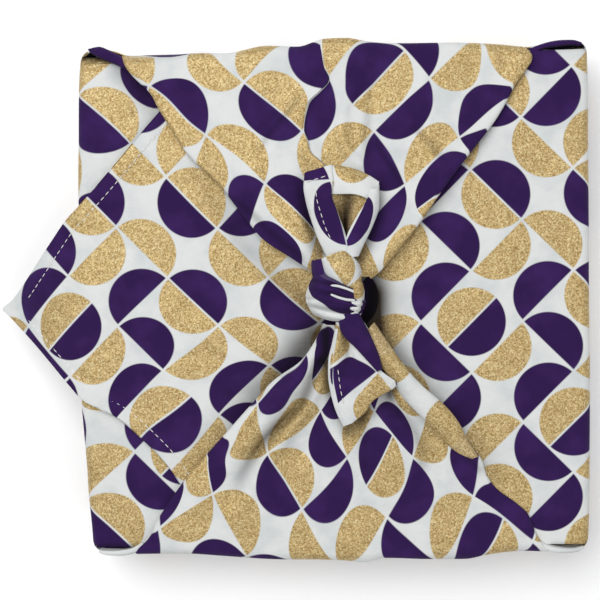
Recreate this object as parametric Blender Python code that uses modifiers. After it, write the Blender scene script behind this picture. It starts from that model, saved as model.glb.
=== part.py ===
"""A flat square gift box wrapped in one hemmed cotton furoshiki, tied on top in a square knot.

Units are metres and +Z is up. The origin is the middle of the flat underside. The loose corner of
the cloth hangs over the -X edge, and the two tie flaps run in from the +Y and -Y edges.
"""

import math
from collections import namedtuple

import bmesh
import bpy
import numpy as np

MM = 0.001

# ---- Driving dimensions ----------------------------------------------------------------------
PARCEL = 224.5 * MM          # outside width of the wrapped box
SHEET = 1.2 * MM             # the cloth under and around the box
FLAP = 1.0 * MM              # the cloth on top, a little thinner so that it sinks into the wall
CORNER_RADIUS = 4.0 * MM     # the wrapped upright corners
WALL_TOP = 35.5 * MM         # where the walls end and the flaps go on
ROOT_DEPTH = 5.0 * MM        # how far each flap reaches down inside its wall
CREST_REACH = 20.0 * MM      # how far in from the edge an uneven crest still pulls the flap

BOX_SIDE = 218.0 * MM        # the cardboard box, 2 mm clear of the cloth at its edges
BOX_FLOOR = 1.6 * MM
BOX_TOP = 35.4 * MM
BOX_EDGE = 0.8 * MM

LEFT_LEVEL = 38.2 * MM       # middle of the lowest layer on top, the left flap
RIGHT_LEVEL = 39.7 * MM      # the right flap, which lies over it
TIE_LEVEL = 41.4 * MM        # the two tie flaps, which lie over both

KNOT_CENTRE = (0.0 * MM, 5.6 * MM, 51.2 * MM)
KNOT_RADII = (13.4 * MM, 15.2 * MM, 9.4 * MM)
KNOT_TAPER = 0.34            # how much narrower the knot is towards the upper tail
STRAND_SLANT = -0.62         # the slope of the crease between the knot's two strands, seen from above
STRAND_CREASE = 1.5 * MM     # how deep that crease is
STRAND_CREASE_WIDTH = 2.2 * MM
PLEAT_SPACING = 4.8 * MM
PLEAT_DEPTH = 0.5 * MM

HALF = PARCEL / 2

# ---- Tables ----------------------------------------------------------------------------------
# A Row is one line across a flap: how far it lies in from the parcel's edge, where the flap's two
# sides are on it, and how far it is lifted off its level.
Row = namedtuple("Row", "inward low high lift")

LEFT_FLAP = (
    Row(6 * MM, -107.5 * MM, 107.5 * MM, 0),
    Row(44 * MM, -108.5 * MM, 108.5 * MM, 0),
    Row(58 * MM, -60 * MM, 60 * MM, 0),
    Row(105 * MM, -9 * MM, 9 * MM, 0),
)

RIGHT_FLAP = (
    Row(6 * MM, -107.5 * MM, 107.5 * MM, 0),
    Row(60 * MM, -108.5 * MM, 108.5 * MM, 0.2 * MM),
    Row(110 * MM, -108.5 * MM, 108.5 * MM, 0),
    Row(160 * MM, -108.5 * MM, 108.5 * MM, 0.2 * MM),
    Row(178 * MM, -90 * MM, 95 * MM, 0.4 * MM),
    Row(189 * MM, -70.2 * MM, 84.9 * MM, 0.5 * MM),
    Row(200 * MM, -58.2 * MM, 72.5 * MM, 0.5 * MM),
    Row(212 * MM, -50.0 * MM, 58.7 * MM, 0.7 * MM),
    Row(220 * MM, -47.4 * MM, 50.5 * MM, 0.6 * MM),
    Row(227 * MM, -43.6 * MM, 43.2 * MM, -0.3 * MM),
    Row(233 * MM, -36.4 * MM, 37.2 * MM, -1.7 * MM),
    Row(241 * MM, -28.0 * MM, 27.2 * MM, -4.6 * MM),
    Row(249 * MM, -20.4 * MM, 17.2 * MM, -8.4 * MM),
    Row(256 * MM, -13.4 * MM, 8.6 * MM, -12.4 * MM),
    Row(262 * MM, -7.6 * MM, 1.8 * MM, -15.8 * MM),
    Row(266.5 * MM, -3.6 * MM, -2.0 * MM, -18.2 * MM),
)

UPPER_TIE = (
    Row(6 * MM, -93 * MM, 86.5 * MM, 0),
    Row(12 * MM, -87.5 * MM, 84.2 * MM, 0),
    Row(24 * MM, -79.2 * MM, 76.3 * MM, 0.3 * MM),
    Row(34 * MM, -72.5 * MM, 70.0 * MM, 0.5 * MM),
    Row(46 * MM, -65.0 * MM, 60.0 * MM, 0.8 * MM),
    Row(60 * MM, -51.5 * MM, 49.5 * MM, 1.2 * MM),
    Row(75 * MM, -39.5 * MM, 38.2 * MM, 2.0 * MM),
    Row(84 * MM, -32.5 * MM, 31.0 * MM, 3.0 * MM),
    Row(92 * MM, -19.0 * MM, 24.5 * MM, 4.6 * MM),
    Row(99 * MM, -9.5 * MM, 17.5 * MM, 6.6 * MM),
    Row(105 * MM, -6.0 * MM, 10.0 * MM, 8.4 * MM),
)

LOWER_TIE = (
    Row(6 * MM, -80.5 * MM, 94.5 * MM, 0),
    Row(12 * MM, -81.5 * MM, 88.0 * MM, 0),
    Row(18 * MM, -78.0 * MM, 82.5 * MM, 0.1 * MM),
    Row(27 * MM, -73.0 * MM, 67.5 * MM, 0.3 * MM),
    Row(40 * MM, -62.0 * MM, 61.0 * MM, 0.6 * MM),
    Row(53 * MM, -50.0 * MM, 55.2 * MM, 1.0 * MM),
    Row(66 * MM, -38.0 * MM, 45.0 * MM, 1.6 * MM),
    Row(75 * MM, -29.5 * MM, 37.5 * MM, 2.6 * MM),
    Row(84 * MM, -17.5 * MM, 29.0 * MM, 4.2 * MM),
    Row(92 * MM, -10.5 * MM, 21.0 * MM, 6.2 * MM),
    Row(102 * MM, -6.0 * MM, 11.0 * MM, 8.4 * MM),
)

# A Bulge is how far the crest of a flap stands out from its wall at one place along the edge.
Bulge = namedtuple("Bulge", "along out")

UPPER_CREST = (
    Bulge(-90 * MM, -2.6 * MM),
    Bulge(-60 * MM, -2.4 * MM),
    Bulge(-43 * MM, 0.2 * MM),
    Bulge(-25 * MM, 1.4 * MM),
    Bulge(-16 * MM, -0.6 * MM),
    Bulge(-5 * MM, 4.6 * MM),
    Bulge(3 * MM, 5.0 * MM),
    Bulge(12 * MM, 3.4 * MM),
    Bulge(20 * MM, 1.0 * MM),
    Bulge(86 * MM, 1.4 * MM),
)

LOWER_CREST = (
    Bulge(-80 * MM, 0.2 * MM),
    Bulge(-60 * MM, 1.8 * MM),
    Bulge(-15 * MM, 4.0 * MM),
    Bulge(8 * MM, 5.0 * MM),
    Bulge(22 * MM, 2.2 * MM),
    Bulge(48 * MM, 3.2 * MM),
    Bulge(72 * MM, 0.6 * MM),
    Bulge(95 * MM, 0.0 * MM),
)

LEFT_CREST = (
    Bulge(-107 * MM, 0.0),
    Bulge(-40 * MM, 0.8 * MM),
    Bulge(50 * MM, 1.8 * MM),
    Bulge(107 * MM, 0.0),
)

RIGHT_CREST = (
    Bulge(-107 * MM, 0.0),
    Bulge(0 * MM, 0.6 * MM),
    Bulge(107 * MM, 0.0),
)

# A Fold is a soft ridge, or a trough where its height is below zero, that runs along a flap:
# where it lies across the flap (0 is the low side, 1 the high side), its half width in the same
# measure, its height, and the stretch of the flap that it rises and dies away on.
Fold = namedtuple("Fold", "across width height start end")

UPPER_FOLDS = (
    Fold(0.14, 0.10, 0.7 * MM, 30 * MM, 96 * MM),
    Fold(0.45, 0.05, -0.5 * MM, 0 * MM, 70 * MM),
    Fold(0.55, 0.07, 1.6 * MM, 2 * MM, 100 * MM),
    Fold(0.83, 0.06, 1.8 * MM, 20 * MM, 100 * MM),
    Fold(0.95, 0.05, 1.2 * MM, 14 * MM, 104 * MM),
    Fold(0.32, 0.07, 1.0 * MM, 40 * MM, 104 * MM),
)

LOWER_FOLDS = (
    Fold(0.07, 0.07, 1.8 * MM, 40 * MM, 104 * MM),
    Fold(0.22, 0.06, -0.6 * MM, 24 * MM, 84 * MM),
    Fold(0.33, 0.08, 1.4 * MM, 18 * MM, 104 * MM),
    Fold(0.62, 0.05, 1.8 * MM, 28 * MM, 104 * MM),
    Fold(0.78, 0.06, 1.0 * MM, 20 * MM, 96 * MM),
    Fold(0.95, 0.05, 1.8 * MM, 18 * MM, 104 * MM),
)

RIGHT_FOLDS = (
    Fold(0.30, 0.20, 0.3 * MM, 60 * MM, 200 * MM),
    Fold(0.72, 0.16, 0.3 * MM, 150 * MM, 230 * MM),
    Fold(0.50, 0.22, -1.0 * MM, 226 * MM, 266 * MM),
)

# A Ring is one cross-section of a tail: the place of its middle, half its width and height, and
# how wide the slit between its two lips is. The slit faces up, or to the side by `turn` degrees.
Ring = namedtuple("Ring", "x y z half_width half_height slit turn")

UPPER_TAIL = (
    Ring(2.0 * MM, 12.0 * MM, 53.6 * MM, 4.6 * MM, 3.0 * MM, 1.6 * MM, 0),
    Ring(3.0 * MM, 21.0 * MM, 53.8 * MM, 6.6 * MM, 3.6 * MM, 1.6 * MM, 0),
    Ring(2.2 * MM, 27.0 * MM, 53.4 * MM, 9.2 * MM, 4.0 * MM, 1.7 * MM, 0),
    Ring(2.2 * MM, 31.5 * MM, 53.0 * MM, 11.2 * MM, 4.4 * MM, 3.6 * MM, 0),
    Ring(2.8 * MM, 37.0 * MM, 52.6 * MM, 13.6 * MM, 4.5 * MM, 7.6 * MM, 0),
    Ring(3.2 * MM, 43.5 * MM, 52.2 * MM, 15.4 * MM, 4.2 * MM, 12.6 * MM, 0),
    Ring(3.2 * MM, 46.0 * MM, 52.0 * MM, 15.8 * MM, 3.8 * MM, 2.4 * MM, 0),
    Ring(3.0 * MM, 51.0 * MM, 51.0 * MM, 16.2 * MM, 2.8 * MM, 2.0 * MM, 0),
    Ring(1.0 * MM, 56.0 * MM, 50.0 * MM, 13.6 * MM, 1.7 * MM, 2.0 * MM, 0),
)

LOWER_TAIL = (
    Ring(3.0 * MM, -2.0 * MM, 52.4 * MM, 5.4 * MM, 3.0 * MM, 1.6 * MM, 60),
    Ring(4.6 * MM, -11.0 * MM, 52.2 * MM, 6.2 * MM, 3.6 * MM, 1.6 * MM, 62),
    Ring(5.4 * MM, -18.0 * MM, 51.4 * MM, 8.2 * MM, 3.6 * MM, 1.7 * MM, 64),
    Ring(7.2 * MM, -25.5 * MM, 50.0 * MM, 10.4 * MM, 3.2 * MM, 1.8 * MM, 68),
    Ring(8.6 * MM, -32.5 * MM, 48.8 * MM, 12.0 * MM, 2.8 * MM, 1.8 * MM, 70),
    Ring(9.6 * MM, -37.0 * MM, 48.2 * MM, 13.2 * MM, 2.4 * MM, 1.8 * MM, 70),
    Ring(8.8 * MM, -43.5 * MM, 47.6 * MM, 10.4 * MM, 2.0 * MM, 1.8 * MM, 70),
    Ring(6.2 * MM, -50.5 * MM, 47.2 * MM, 6.0 * MM, 1.6 * MM, 1.6 * MM, 70),
    Ring(3.6 * MM, -55.0 * MM, 47.0 * MM, 2.6 * MM, 1.4 * MM, 1.4 * MM, 70),
)

# ---- Colours ---------------------------------------------------------------------------------
COTTON = (0.80, 0.78, 0.76)
KRAFT = (0.52, 0.38, 0.25)


def clear_scene():
    for old in list(bpy.data.objects):
        bpy.data.objects.remove(old, do_unlink=True)


def new_collection(name):
    collection = bpy.data.collections.new(name)
    bpy.context.scene.collection.children.link(collection)
    return collection


def matt_material(name, colour, roughness):
    material = bpy.data.materials.new(name)
    material.use_nodes = True
    shader = material.node_tree.nodes["Principled BSDF"]
    shader.inputs["Base Color"].default_value = (*colour, 1.0)
    shader.inputs["Roughness"].default_value = roughness
    return material


def column(table, name):
    return [getattr(entry, name) for entry in table]


def read(table, key, name, at):
    """The value of one column of a table, between its rows."""
    return float(np.interp(at, column(table, key), column(table, name)))


def fold_height(folds, across, inward):
    """How far the folds lift a point of a flap."""
    height = 0.0
    for fold in folds:
        stretch = (inward - fold.start) / (fold.end - fold.start)
        if 0.0 < stretch < 1.0:
            offset = (across - fold.across) / fold.width
            height += fold.height * math.exp(-offset * offset) * math.sin(math.pi * stretch)
    return height


def grid_object(name, steps_along, steps_across, place, collection):
    """A square grid whose points `place` sends, by their two shares from 0 to 1, to their spot."""
    bm = bmesh.new()
    bmesh.ops.create_grid(bm, x_segments=steps_along, y_segments=steps_across, size=0.5)
    for vert in bm.verts:
        vert.co = place(vert.co.x + 0.5, vert.co.y + 0.5)
    mesh = bpy.data.meshes.new(name)
    bm.to_mesh(mesh)
    bm.free()
    made = bpy.data.objects.new(name, mesh)
    collection.objects.link(made)
    return made


def thicken(made, thickness, offset=0.0):
    solidify = made.modifiers.new("thickness", "SOLIDIFY")
    solidify.thickness = thickness
    solidify.offset = offset
    solidify.use_even_offset = False
    return made


def flap_stations(rows, level, steps):
    """The flap's route in from its wall: up inside the wall, over the edge and across the top."""
    inset = SHEET / 2
    bend = rows[0].inward - inset
    stations = [(inset, WALL_TOP - ROOT_DEPTH), (inset, WALL_TOP - ROOT_DEPTH / 2), (inset, WALL_TOP)]
    rise = level - WALL_TOP
    for degrees in (30, 60):
        turn = math.radians(degrees)
        stations.append((inset + bend * (1 - math.cos(turn)), WALL_TOP + rise * math.sin(turn)))
    last = rows[-1].inward
    for step in range(steps + 1):
        inward = rows[0].inward + (last - rows[0].inward) * step / steps
        stations.append((inward, level + read(rows, "inward", "lift", inward)))
    return stations


def make_flap(name, rows, folds, crest, level, side, steps_along, steps_across, collection):
    """One flap of the cloth, from its root in the wall to its end on top.

    `side` turns the flap to its edge: 0 is the +X edge, 90 the +Y edge, and so on.
    """
    stations = flap_stations(rows, level, steps_along)
    turn = math.radians(side)
    mirror = 1.0 if side in (0, 270) else -1.0

    def place(along, across):
        index = along * (len(stations) - 1)
        inward = float(np.interp(index, range(len(stations)), [s[0] for s in stations]))
        height = float(np.interp(index, range(len(stations)), [s[1] for s in stations]))
        on_top = max(inward, rows[0].inward)
        low = read(rows, "inward", "low", on_top)
        high = read(rows, "inward", "high", on_top)
        sideways = low + (high - low) * across
        height += fold_height(folds, across, inward)
        above_wall = min(max(2 * (height - WALL_TOP) / (level - WALL_TOP), 0.0), 1.0)
        fade = max(0.0, 1.0 - inward / CREST_REACH)
        inward -= read(crest, "along", "out", sideways) * above_wall * fade
        out = HALF - inward
        x = out * math.cos(turn) - mirror * sideways * math.sin(turn)
        y = out * math.sin(turn) + mirror * sideways * math.cos(turn)
        return (x, y, height)

    flap = grid_object(name, len(stations) - 1, steps_across, place, collection)
    return thicken(flap, FLAP)


def make_tail(name, rings, steps_along, steps_around, collection):
    """A tail of the tie, a sheet rolled into a flattened tube with its lips a slit apart."""
    order = range(len(rings))

    def place(along, around):
        index = along * (len(rings) - 1)
        x, y, z, half_width, half_height, slit, turn = (
            float(np.interp(index, order, column(rings, part))) for part in Ring._fields
        )
        half_gap = math.asin(min(0.95, slit / 2 / half_width))
        if turn:
            half_gap = math.asin(min(0.95, slit / 2 / half_height))
        angle = half_gap + (2 * math.pi - 2 * half_gap) * around
        start = math.radians(90 + turn)
        return (
            x + half_width * math.cos(start + angle),
            y,
            z + half_height * math.sin(start + angle),
        )

    tail = grid_object(name, steps_along, steps_around, place, collection)
    return thicken(tail, FLAP)


def make_knot(collection):
    """The square knot, one lump whose upper strand is laid in pleats that run across it."""
    bm = bmesh.new()
    bmesh.ops.create_uvsphere(bm, u_segments=22, v_segments=20, radius=1.0)
    for vert in bm.verts:
        x, y, z = vert.co
        upper = max(0.0, z)
        across = x * KNOT_RADII[0] * (1.0 - KNOT_TAPER * y)
        forward = y * KNOT_RADII[1]
        from_crease = (forward - 3.0 * MM - STRAND_SLANT * across) / STRAND_CREASE_WIDTH
        crease = STRAND_CREASE * math.exp(-from_crease * from_crease)
        pleat = 0.0
        if from_crease < 0.0:
            pleat = PLEAT_DEPTH * math.sin(2 * math.pi * forward / PLEAT_SPACING)
        vert.co = (
            KNOT_CENTRE[0] + across,
            KNOT_CENTRE[1] + forward,
            KNOT_CENTRE[2] + z * KNOT_RADII[2] + (pleat - crease) * upper,
        )
    mesh = bpy.data.meshes.new("knot_lump")
    bm.to_mesh(mesh)
    bm.free()
    knot = bpy.data.objects.new("knot_lump", mesh)
    collection.objects.link(knot)
    return knot


def make_wrap(collection):
    """The cloth under and around the box: a tray with a flat floor and rounded corners."""
    bm = bmesh.new()
    bmesh.ops.create_cube(bm, size=1.0)
    for vert in bm.verts:
        vert.co.x *= PARCEL
        vert.co.y *= PARCEL
        vert.co.z = (vert.co.z + 0.5) * WALL_TOP
    lid = [face for face in bm.faces if face.normal.z > 0.5]
    bmesh.ops.delete(bm, geom=lid, context="FACES_ONLY")
    upright = [e for e in bm.edges if abs(e.verts[0].co.z - e.verts[1].co.z) > WALL_TOP / 2]
    bmesh.ops.bevel(bm, geom=upright, offset=CORNER_RADIUS, segments=5, profile=0.5, affect="EDGES")
    lowest = [e for e in bm.edges if max(e.verts[0].co.z, e.verts[1].co.z) < SHEET / 2]
    bmesh.ops.bevel(bm, geom=lowest, offset=2 * SHEET, segments=3, profile=0.5, affect="EDGES")
    mesh = bpy.data.meshes.new("furoshiki")
    bm.to_mesh(mesh)
    bm.free()
    wrap = bpy.data.objects.new("furoshiki", mesh)
    collection.objects.link(wrap)
    return thicken(wrap, SHEET, offset=-1.0)


def make_gift_box(collection):
    bm = bmesh.new()
    bmesh.ops.create_cube(bm, size=1.0)
    for vert in bm.verts:
        vert.co.x *= BOX_SIDE
        vert.co.y *= BOX_SIDE
        vert.co.z = BOX_FLOOR + (vert.co.z + 0.5) * (BOX_TOP - BOX_FLOOR)
    mesh = bpy.data.meshes.new("gift_box")
    bm.to_mesh(mesh)
    bm.free()
    box = bpy.data.objects.new("gift_box", mesh)
    collection.objects.link(box)
    bevel = box.modifiers.new("board edge", "BEVEL")
    bevel.width = BOX_EDGE
    bevel.segments = 2
    return box


def join(target, pieces):
    """Make one solid of the wrap and the pieces that go on from it."""
    for piece in pieces:
        piece.hide_render = True
        piece.display_type = "WIRE"
        union = target.modifiers.new("join " + piece.name, "BOOLEAN")
        union.operation = "UNION"
        union.solver = "EXACT"
        union.object = piece


def main():
    clear_scene()
    parts = new_collection("furoshiki wrapped gift box")
    pieces = new_collection("pieces joined into the cloth")
    cotton = matt_material("printed cotton", COTTON, 0.85)
    kraft = matt_material("kraft board", KRAFT, 0.8)

    wrap = make_wrap(parts)
    left = make_flap("left_flap", LEFT_FLAP, (), LEFT_CREST, LEFT_LEVEL, 180, 5, 10, pieces)
    right = make_flap("right_flap", RIGHT_FLAP, RIGHT_FOLDS, RIGHT_CREST, RIGHT_LEVEL, 0, 28, 12, pieces)
    upper = make_flap("upper_tie", UPPER_TIE, UPPER_FOLDS, UPPER_CREST, TIE_LEVEL, 90, 14, 22, pieces)
    lower = make_flap("lower_tie", LOWER_TIE, LOWER_FOLDS, LOWER_CREST, TIE_LEVEL, 270, 14, 22, pieces)
    knot = make_knot(pieces)
    upper_tail = make_tail("upper_tail", UPPER_TAIL, 13, 16, pieces)
    lower_tail = make_tail("lower_tail", LOWER_TAIL, 13, 14, pieces)
    join(wrap, [left, right, upper, lower, knot, upper_tail, lower_tail])
    wrap.data.materials.append(cotton)

    box = make_gift_box(parts)
    box.data.materials.append(kraft)


main()
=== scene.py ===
# %% [markdown]
# # A gift box wrapped in a square cotton cloth
# A furoshiki is one hemmed square of cotton. The box lies on it cornerwise, two corners are folded flat
# over the top, and the other two are gathered over them and tied in a square knot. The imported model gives
# the fixed frame. This lesson lays a thin printed sheet on it, with its folds, hems and stitches.

import math
from collections import namedtuple

import bmesh
import bpy
import numpy as np
from mathutils import Matrix, Vector


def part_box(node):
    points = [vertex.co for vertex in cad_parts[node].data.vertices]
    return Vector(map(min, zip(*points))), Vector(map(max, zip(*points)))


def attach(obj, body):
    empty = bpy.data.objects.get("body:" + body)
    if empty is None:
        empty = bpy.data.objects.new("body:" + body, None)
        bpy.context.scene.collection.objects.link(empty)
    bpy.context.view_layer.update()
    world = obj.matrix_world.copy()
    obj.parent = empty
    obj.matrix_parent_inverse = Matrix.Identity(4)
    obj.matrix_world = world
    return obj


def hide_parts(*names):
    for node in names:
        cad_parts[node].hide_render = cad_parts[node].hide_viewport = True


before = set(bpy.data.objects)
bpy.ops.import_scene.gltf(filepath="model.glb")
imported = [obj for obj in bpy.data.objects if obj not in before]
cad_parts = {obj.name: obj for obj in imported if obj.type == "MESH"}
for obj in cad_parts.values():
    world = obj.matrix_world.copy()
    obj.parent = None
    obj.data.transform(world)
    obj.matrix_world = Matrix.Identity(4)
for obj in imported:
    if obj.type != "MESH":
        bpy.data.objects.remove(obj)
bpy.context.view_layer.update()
MM = 0.001
box_low, box_high = (np.array(corner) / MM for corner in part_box("gift_box"))
print("gift box, mm:", box_low.round(1), box_high.round(1))

# %% [markdown]
# ## Sizes
# Everything below is in millimetres. The cloth stands a little off the box, so each layer on top has its own
# level. Cotton of this weight is about 0.4 mm thick, and is drawn as 0.5 mm. The hem is 6 mm wide. The
# print's cell is 32 mm, set at 45 degrees to the box, because the cloth lies cornerwise under it.

# %% Driving sizes
SHEET = 0.5
HALF = box_high[0] + 3.0                 # from the middle to the cloth on a side wall
FLOOR_LEVEL = 0.3                        # middle of the sheet under the box
LEFT_LEVEL = box_high[2] + 2.2
RIGHT_LEVEL = box_high[2] + 4.1
TIE_LEVEL = box_high[2] + 6.4
EDGE_ROUND = 4.0                         # how sharply the cloth turns over a top edge of the box
FOOT_ROUND = 2.0                         # and round a bottom edge
CORNER_ROUND = 4.0                       # and round an upright corner
ROLL = 1.4                               # the turned edge of a gathered flap
CELL = 31.87
HEM = 6.0
STITCH_INSET = 5.6
WALL_PRINT = 36.9                        # how much of the print a side wall takes up
UNDER_WIDTH = 2 * HALF + WALL_PRINT
PRINT_STEP = CELL * math.sqrt(2)         # one cell corner to corner, along the box's own axes
print("parcel", round(2 * HALF, 1), "mm square; levels", LEFT_LEVEL, RIGHT_LEVEL, TIE_LEVEL)

# %% [markdown]
# ## Smooth tables
# A fold is easiest to shape from a short table and a curve that runs smoothly through it. Numpy's own
# `interp` would leave a kink at each row, so this helper uses cubic pieces with matching slopes, held back
# where a steeper slope would make the curve overshoot its table.

# %% Reading a table smoothly
def smooth(at, keys, values):
    keys, values = np.asarray(keys, float), np.asarray(values, float)
    at = np.clip(np.asarray(at, float), keys[0], keys[-1])
    steps = np.diff(values) / np.diff(keys)
    before, after = np.append(steps[:1], steps), np.append(steps, steps[-1:])
    steepest = 3 * np.minimum(abs(before), abs(after)) * (before * after > 0)
    slopes = np.clip(np.gradient(values, keys), -steepest, steepest)
    i = np.clip(np.searchsorted(keys, at) - 1, 0, len(keys) - 2)
    span = keys[i + 1] - keys[i]
    t = (at - keys[i]) / span
    return (
        (1 + 2 * t) * (1 - t) ** 2 * values[i]
        + t * (1 - t) ** 2 * span * slopes[i]
        + t * t * (3 - 2 * t) * values[i + 1]
        + t * t * (t - 1) * span * slopes[i + 1]
    )


def rows_of(kind, rows):
    return tuple(kind(*row) for row in rows)


def table(rows, name, at):
    """One column of a table, read smoothly against its distance in from the side of the box."""
    return smooth(at, [r.inward for r in rows], [getattr(r, name) for r in rows])


def ease(at, start, end):
    """A soft step from 0 to 1."""
    t = np.clip((at - start) / (end - start), 0.0, 1.0)
    return t * t * (3 - 2 * t)


def rail(points, shares):
    """Places on a smooth line through points, at shares of its length from 0 to 1."""
    points = np.asarray(points, float)
    length = np.concatenate([[0], np.cumsum(np.linalg.norm(np.diff(points, axis=0), axis=1))])
    return np.stack([smooth(shares, length / length[-1], axis) for axis in points.T], -1)


# %% [markdown]
# ## Creases
# Gathered cloth is never flat. Each crease is a line on the plan with a height at each of its points, above
# zero for a ridge and below for a trough, and its own softness on either hand: the same on both for a
# rolling fold, narrow on one hand for a tuck that ends in a step.

# %% Crease lines
Crease = namedtuple("Crease", "left right points")


def crease_height(creases, x, y):
    """The sum of all creases at each place, each fading with the distance from its line."""
    total = np.zeros_like(x)
    for crease in creases:
        line = rail(crease.points, np.linspace(0, 1, 8 * len(crease.points)))
        nearest = np.full_like(x, 1e9)
        height, side = np.zeros_like(x), np.zeros_like(x)
        for (ax, ay, az), (bx, by, bz) in zip(line[:-1], line[1:]):
            dx, dy = bx - ax, by - ay
            share = np.clip(((x - ax) * dx + (y - ay) * dy) / (dx * dx + dy * dy), 0, 1)
            away = np.hypot(x - ax - share * dx, y - ay - share * dy)
            closer = away < nearest
            nearest = np.where(closer, away, nearest)
            height = np.where(closer, az + share * (bz - az), height)
            side = np.where(closer, dx * (y - ay) - dy * (x - ax), side)
        width = np.where(side > 0, crease.left, crease.right)
        total += height * np.exp(-((nearest / width) ** 2))
    return total


WAVES, WAVE_TURN, WAVE_SHIFT = 5, 2.4, 1.7
FLAT_WAVES, TIE_WAVES = (46, 0.16), (38, 0.3)        # how far apart the soft rises are, and how high
SIDE_WAVES, END_WAVES = (60, 0.35), (44, 0.5)        # and on the walls of the two pairs of flaps


def unevenness(x, y, size, height):
    """Soft, irregular rises about `size` across, the same each time."""
    total = np.zeros_like(x)
    for k in range(1, WAVES + 1):
        turn = WAVE_TURN * k
        wave = 2 * math.pi / (size * (0.7 + 0.17 * k))
        total += np.sin(wave * (x * math.cos(turn) + y * math.sin(turn)) + WAVE_SHIFT * k * k)
    return height * total / 3


# %% [markdown]
# ## Panels
# Each part of the cloth is a grid of points. `place` sends a row and a column to a spot in space and to a
# spot on the flat cloth. The flat spot becomes the UV, counted in print cells, so the print follows every
# fold as the real one does. A point attribute holds painted shade: how much darker each point is painted.

# %% Making one panel
panels = []


def panel(name, rows, columns, place, shades=()):
    bm = bmesh.new()
    bmesh.ops.create_grid(bm, x_segments=len(rows) - 1, y_segments=len(columns) - 1, size=0.5)
    mesh = bpy.data.meshes.new(name)
    bm.to_mesh(mesh)
    bm.free()
    count = len(mesh.vertices)
    flat = np.zeros(count * 3)
    mesh.vertices.foreach_get("co", flat)
    flat = flat.reshape(-1, 3)
    row = np.rint((flat[:, 0] + 0.5) * (len(rows) - 1)).astype(int)
    column = np.rint((flat[:, 1] + 0.5) * (len(columns) - 1)).astype(int)
    x, y, z, u, v = (np.array(np.broadcast_to(a, count)) for a in place(rows[row], columns[column]))
    mesh.vertices.foreach_set("co", (np.stack([x, y, z], -1) * MM).astype(np.float32).ravel())
    corner_of = np.zeros(len(mesh.loops), int)
    mesh.loops.foreach_get("vertex_index", corner_of)
    cells = mesh.uv_layers.new(name="cloth")
    cells.data.foreach_set("uv", np.stack([u, v], -1)[corner_of].astype(np.float32).ravel())
    # painted shade, from 0 to 1, that darkens the print in folds, pocket mouths and beside the knot
    painted_shade = mesh.attributes.new("shade", "FLOAT", "POINT")
    painted_shade.data.foreach_set("value", np.clip(crease_height(shades, x, y), 0, 1).astype(np.float32))
    mesh.update()
    made = bpy.data.objects.new(name, mesh)
    bpy.context.scene.collection.objects.link(made)
    panels.append(made)
    print(f"{name}: {count} points")
    return made


# %% [markdown]
# ## Over an edge of the box
# Every flap starts under the box, turns up the wall, and turns in over the top edge. One function gives that
# section. It takes a distance along the cloth that is zero where the turn over the top edge starts.

# %% The section of a wall
def over_edge(along, level):
    """How far out from the middle the cloth is, and how high, at a distance along it."""
    wall = level - EDGE_ROUND - FLOOR_LEVEL - FOOT_ROUND
    turn = np.clip(along / EDGE_ROUND, 0, math.pi / 2)
    inward = np.maximum(along - EDGE_ROUND * math.pi / 2, 0)
    down = np.clip(-along, 0, wall)
    foot = np.clip((-along - wall) / FOOT_ROUND, 0, math.pi / 2)
    under = np.maximum(-along - wall - FOOT_ROUND * math.pi / 2, 0)
    out = HALF - EDGE_ROUND * (1 - np.cos(turn)) - inward - FOOT_ROUND * (1 - np.cos(foot)) - under
    high = level - EDGE_ROUND * (1 - np.sin(turn)) - down - FOOT_ROUND * np.sin(foot)
    return out, high


def foot_start(level):
    """Where the cloth starts to turn up from the underside."""
    return -(level - EDGE_ROUND - FLOOR_LEVEL - FOOT_ROUND) - FOOT_ROUND * math.pi / 2


def flat_inward(along):
    """The same distance, counted from the parcel's side as it shows from above."""
    return along - EDGE_ROUND * (math.pi / 2 - 1)


# %% [markdown]
# ## Where the print lies
# The cloth is one square, so one pair of coordinates covers it, counted in print cells. On the two flat
# flaps they follow straight from the plan. The gathered flaps draw in across their width: there the plan
# is stretched out again first, more and more towards the knot. Pulls are the small local shifts that an
# uneven fold leaves in the print.

# %% Cells of the flat cloth
Pull = namedtuple("Pull", "x y shift_x shift_y reach")


def pulled(pulls, x, y):
    shift_x, shift_y = np.zeros_like(x), np.zeros_like(y)
    for pull in pulls:
        weight = np.exp(-((x - pull.x) ** 2 + (y - pull.y) ** 2) / pull.reach**2)
        shift_x += weight * pull.shift_x
        shift_y += weight * pull.shift_y
    return x + shift_x, y + shift_y


START_U, START_V = 92.5, 26.7            # where the repeat starts on the right flap
LEFT_ON_U, LEFT_ON_V = 11.6, 12.13       # how many cells further on the left flap is
UPPER_FAR, LOWER_FAR = 509.5, 443.7      # where it starts on the two gathered flaps, seen across the box


def right_cells(x, y):
    return (x - y - START_U) / PRINT_STEP, (x + y - START_V) / PRINT_STEP


def left_cells(x, y):
    u, v = right_cells(x, y)
    return u + LEFT_ON_U, v + LEFT_ON_V


def upper_cells(x, y):
    return (y - x - START_U) / PRINT_STEP, (UPPER_FAR - x - y) / PRINT_STEP


def lower_cells(x, y):
    return (LOWER_FAR - x + y) / PRINT_STEP, (-x - y - START_V) / PRINT_STEP


def under_cells(x, y):
    return (UNDER_WIDTH - START_U - x - y) / PRINT_STEP, (UNDER_WIDTH - START_V - x + y) / PRINT_STEP


OWN_CELLS_END = -6.0                     # a flap's own cells end here, and those of the underside begin


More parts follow.
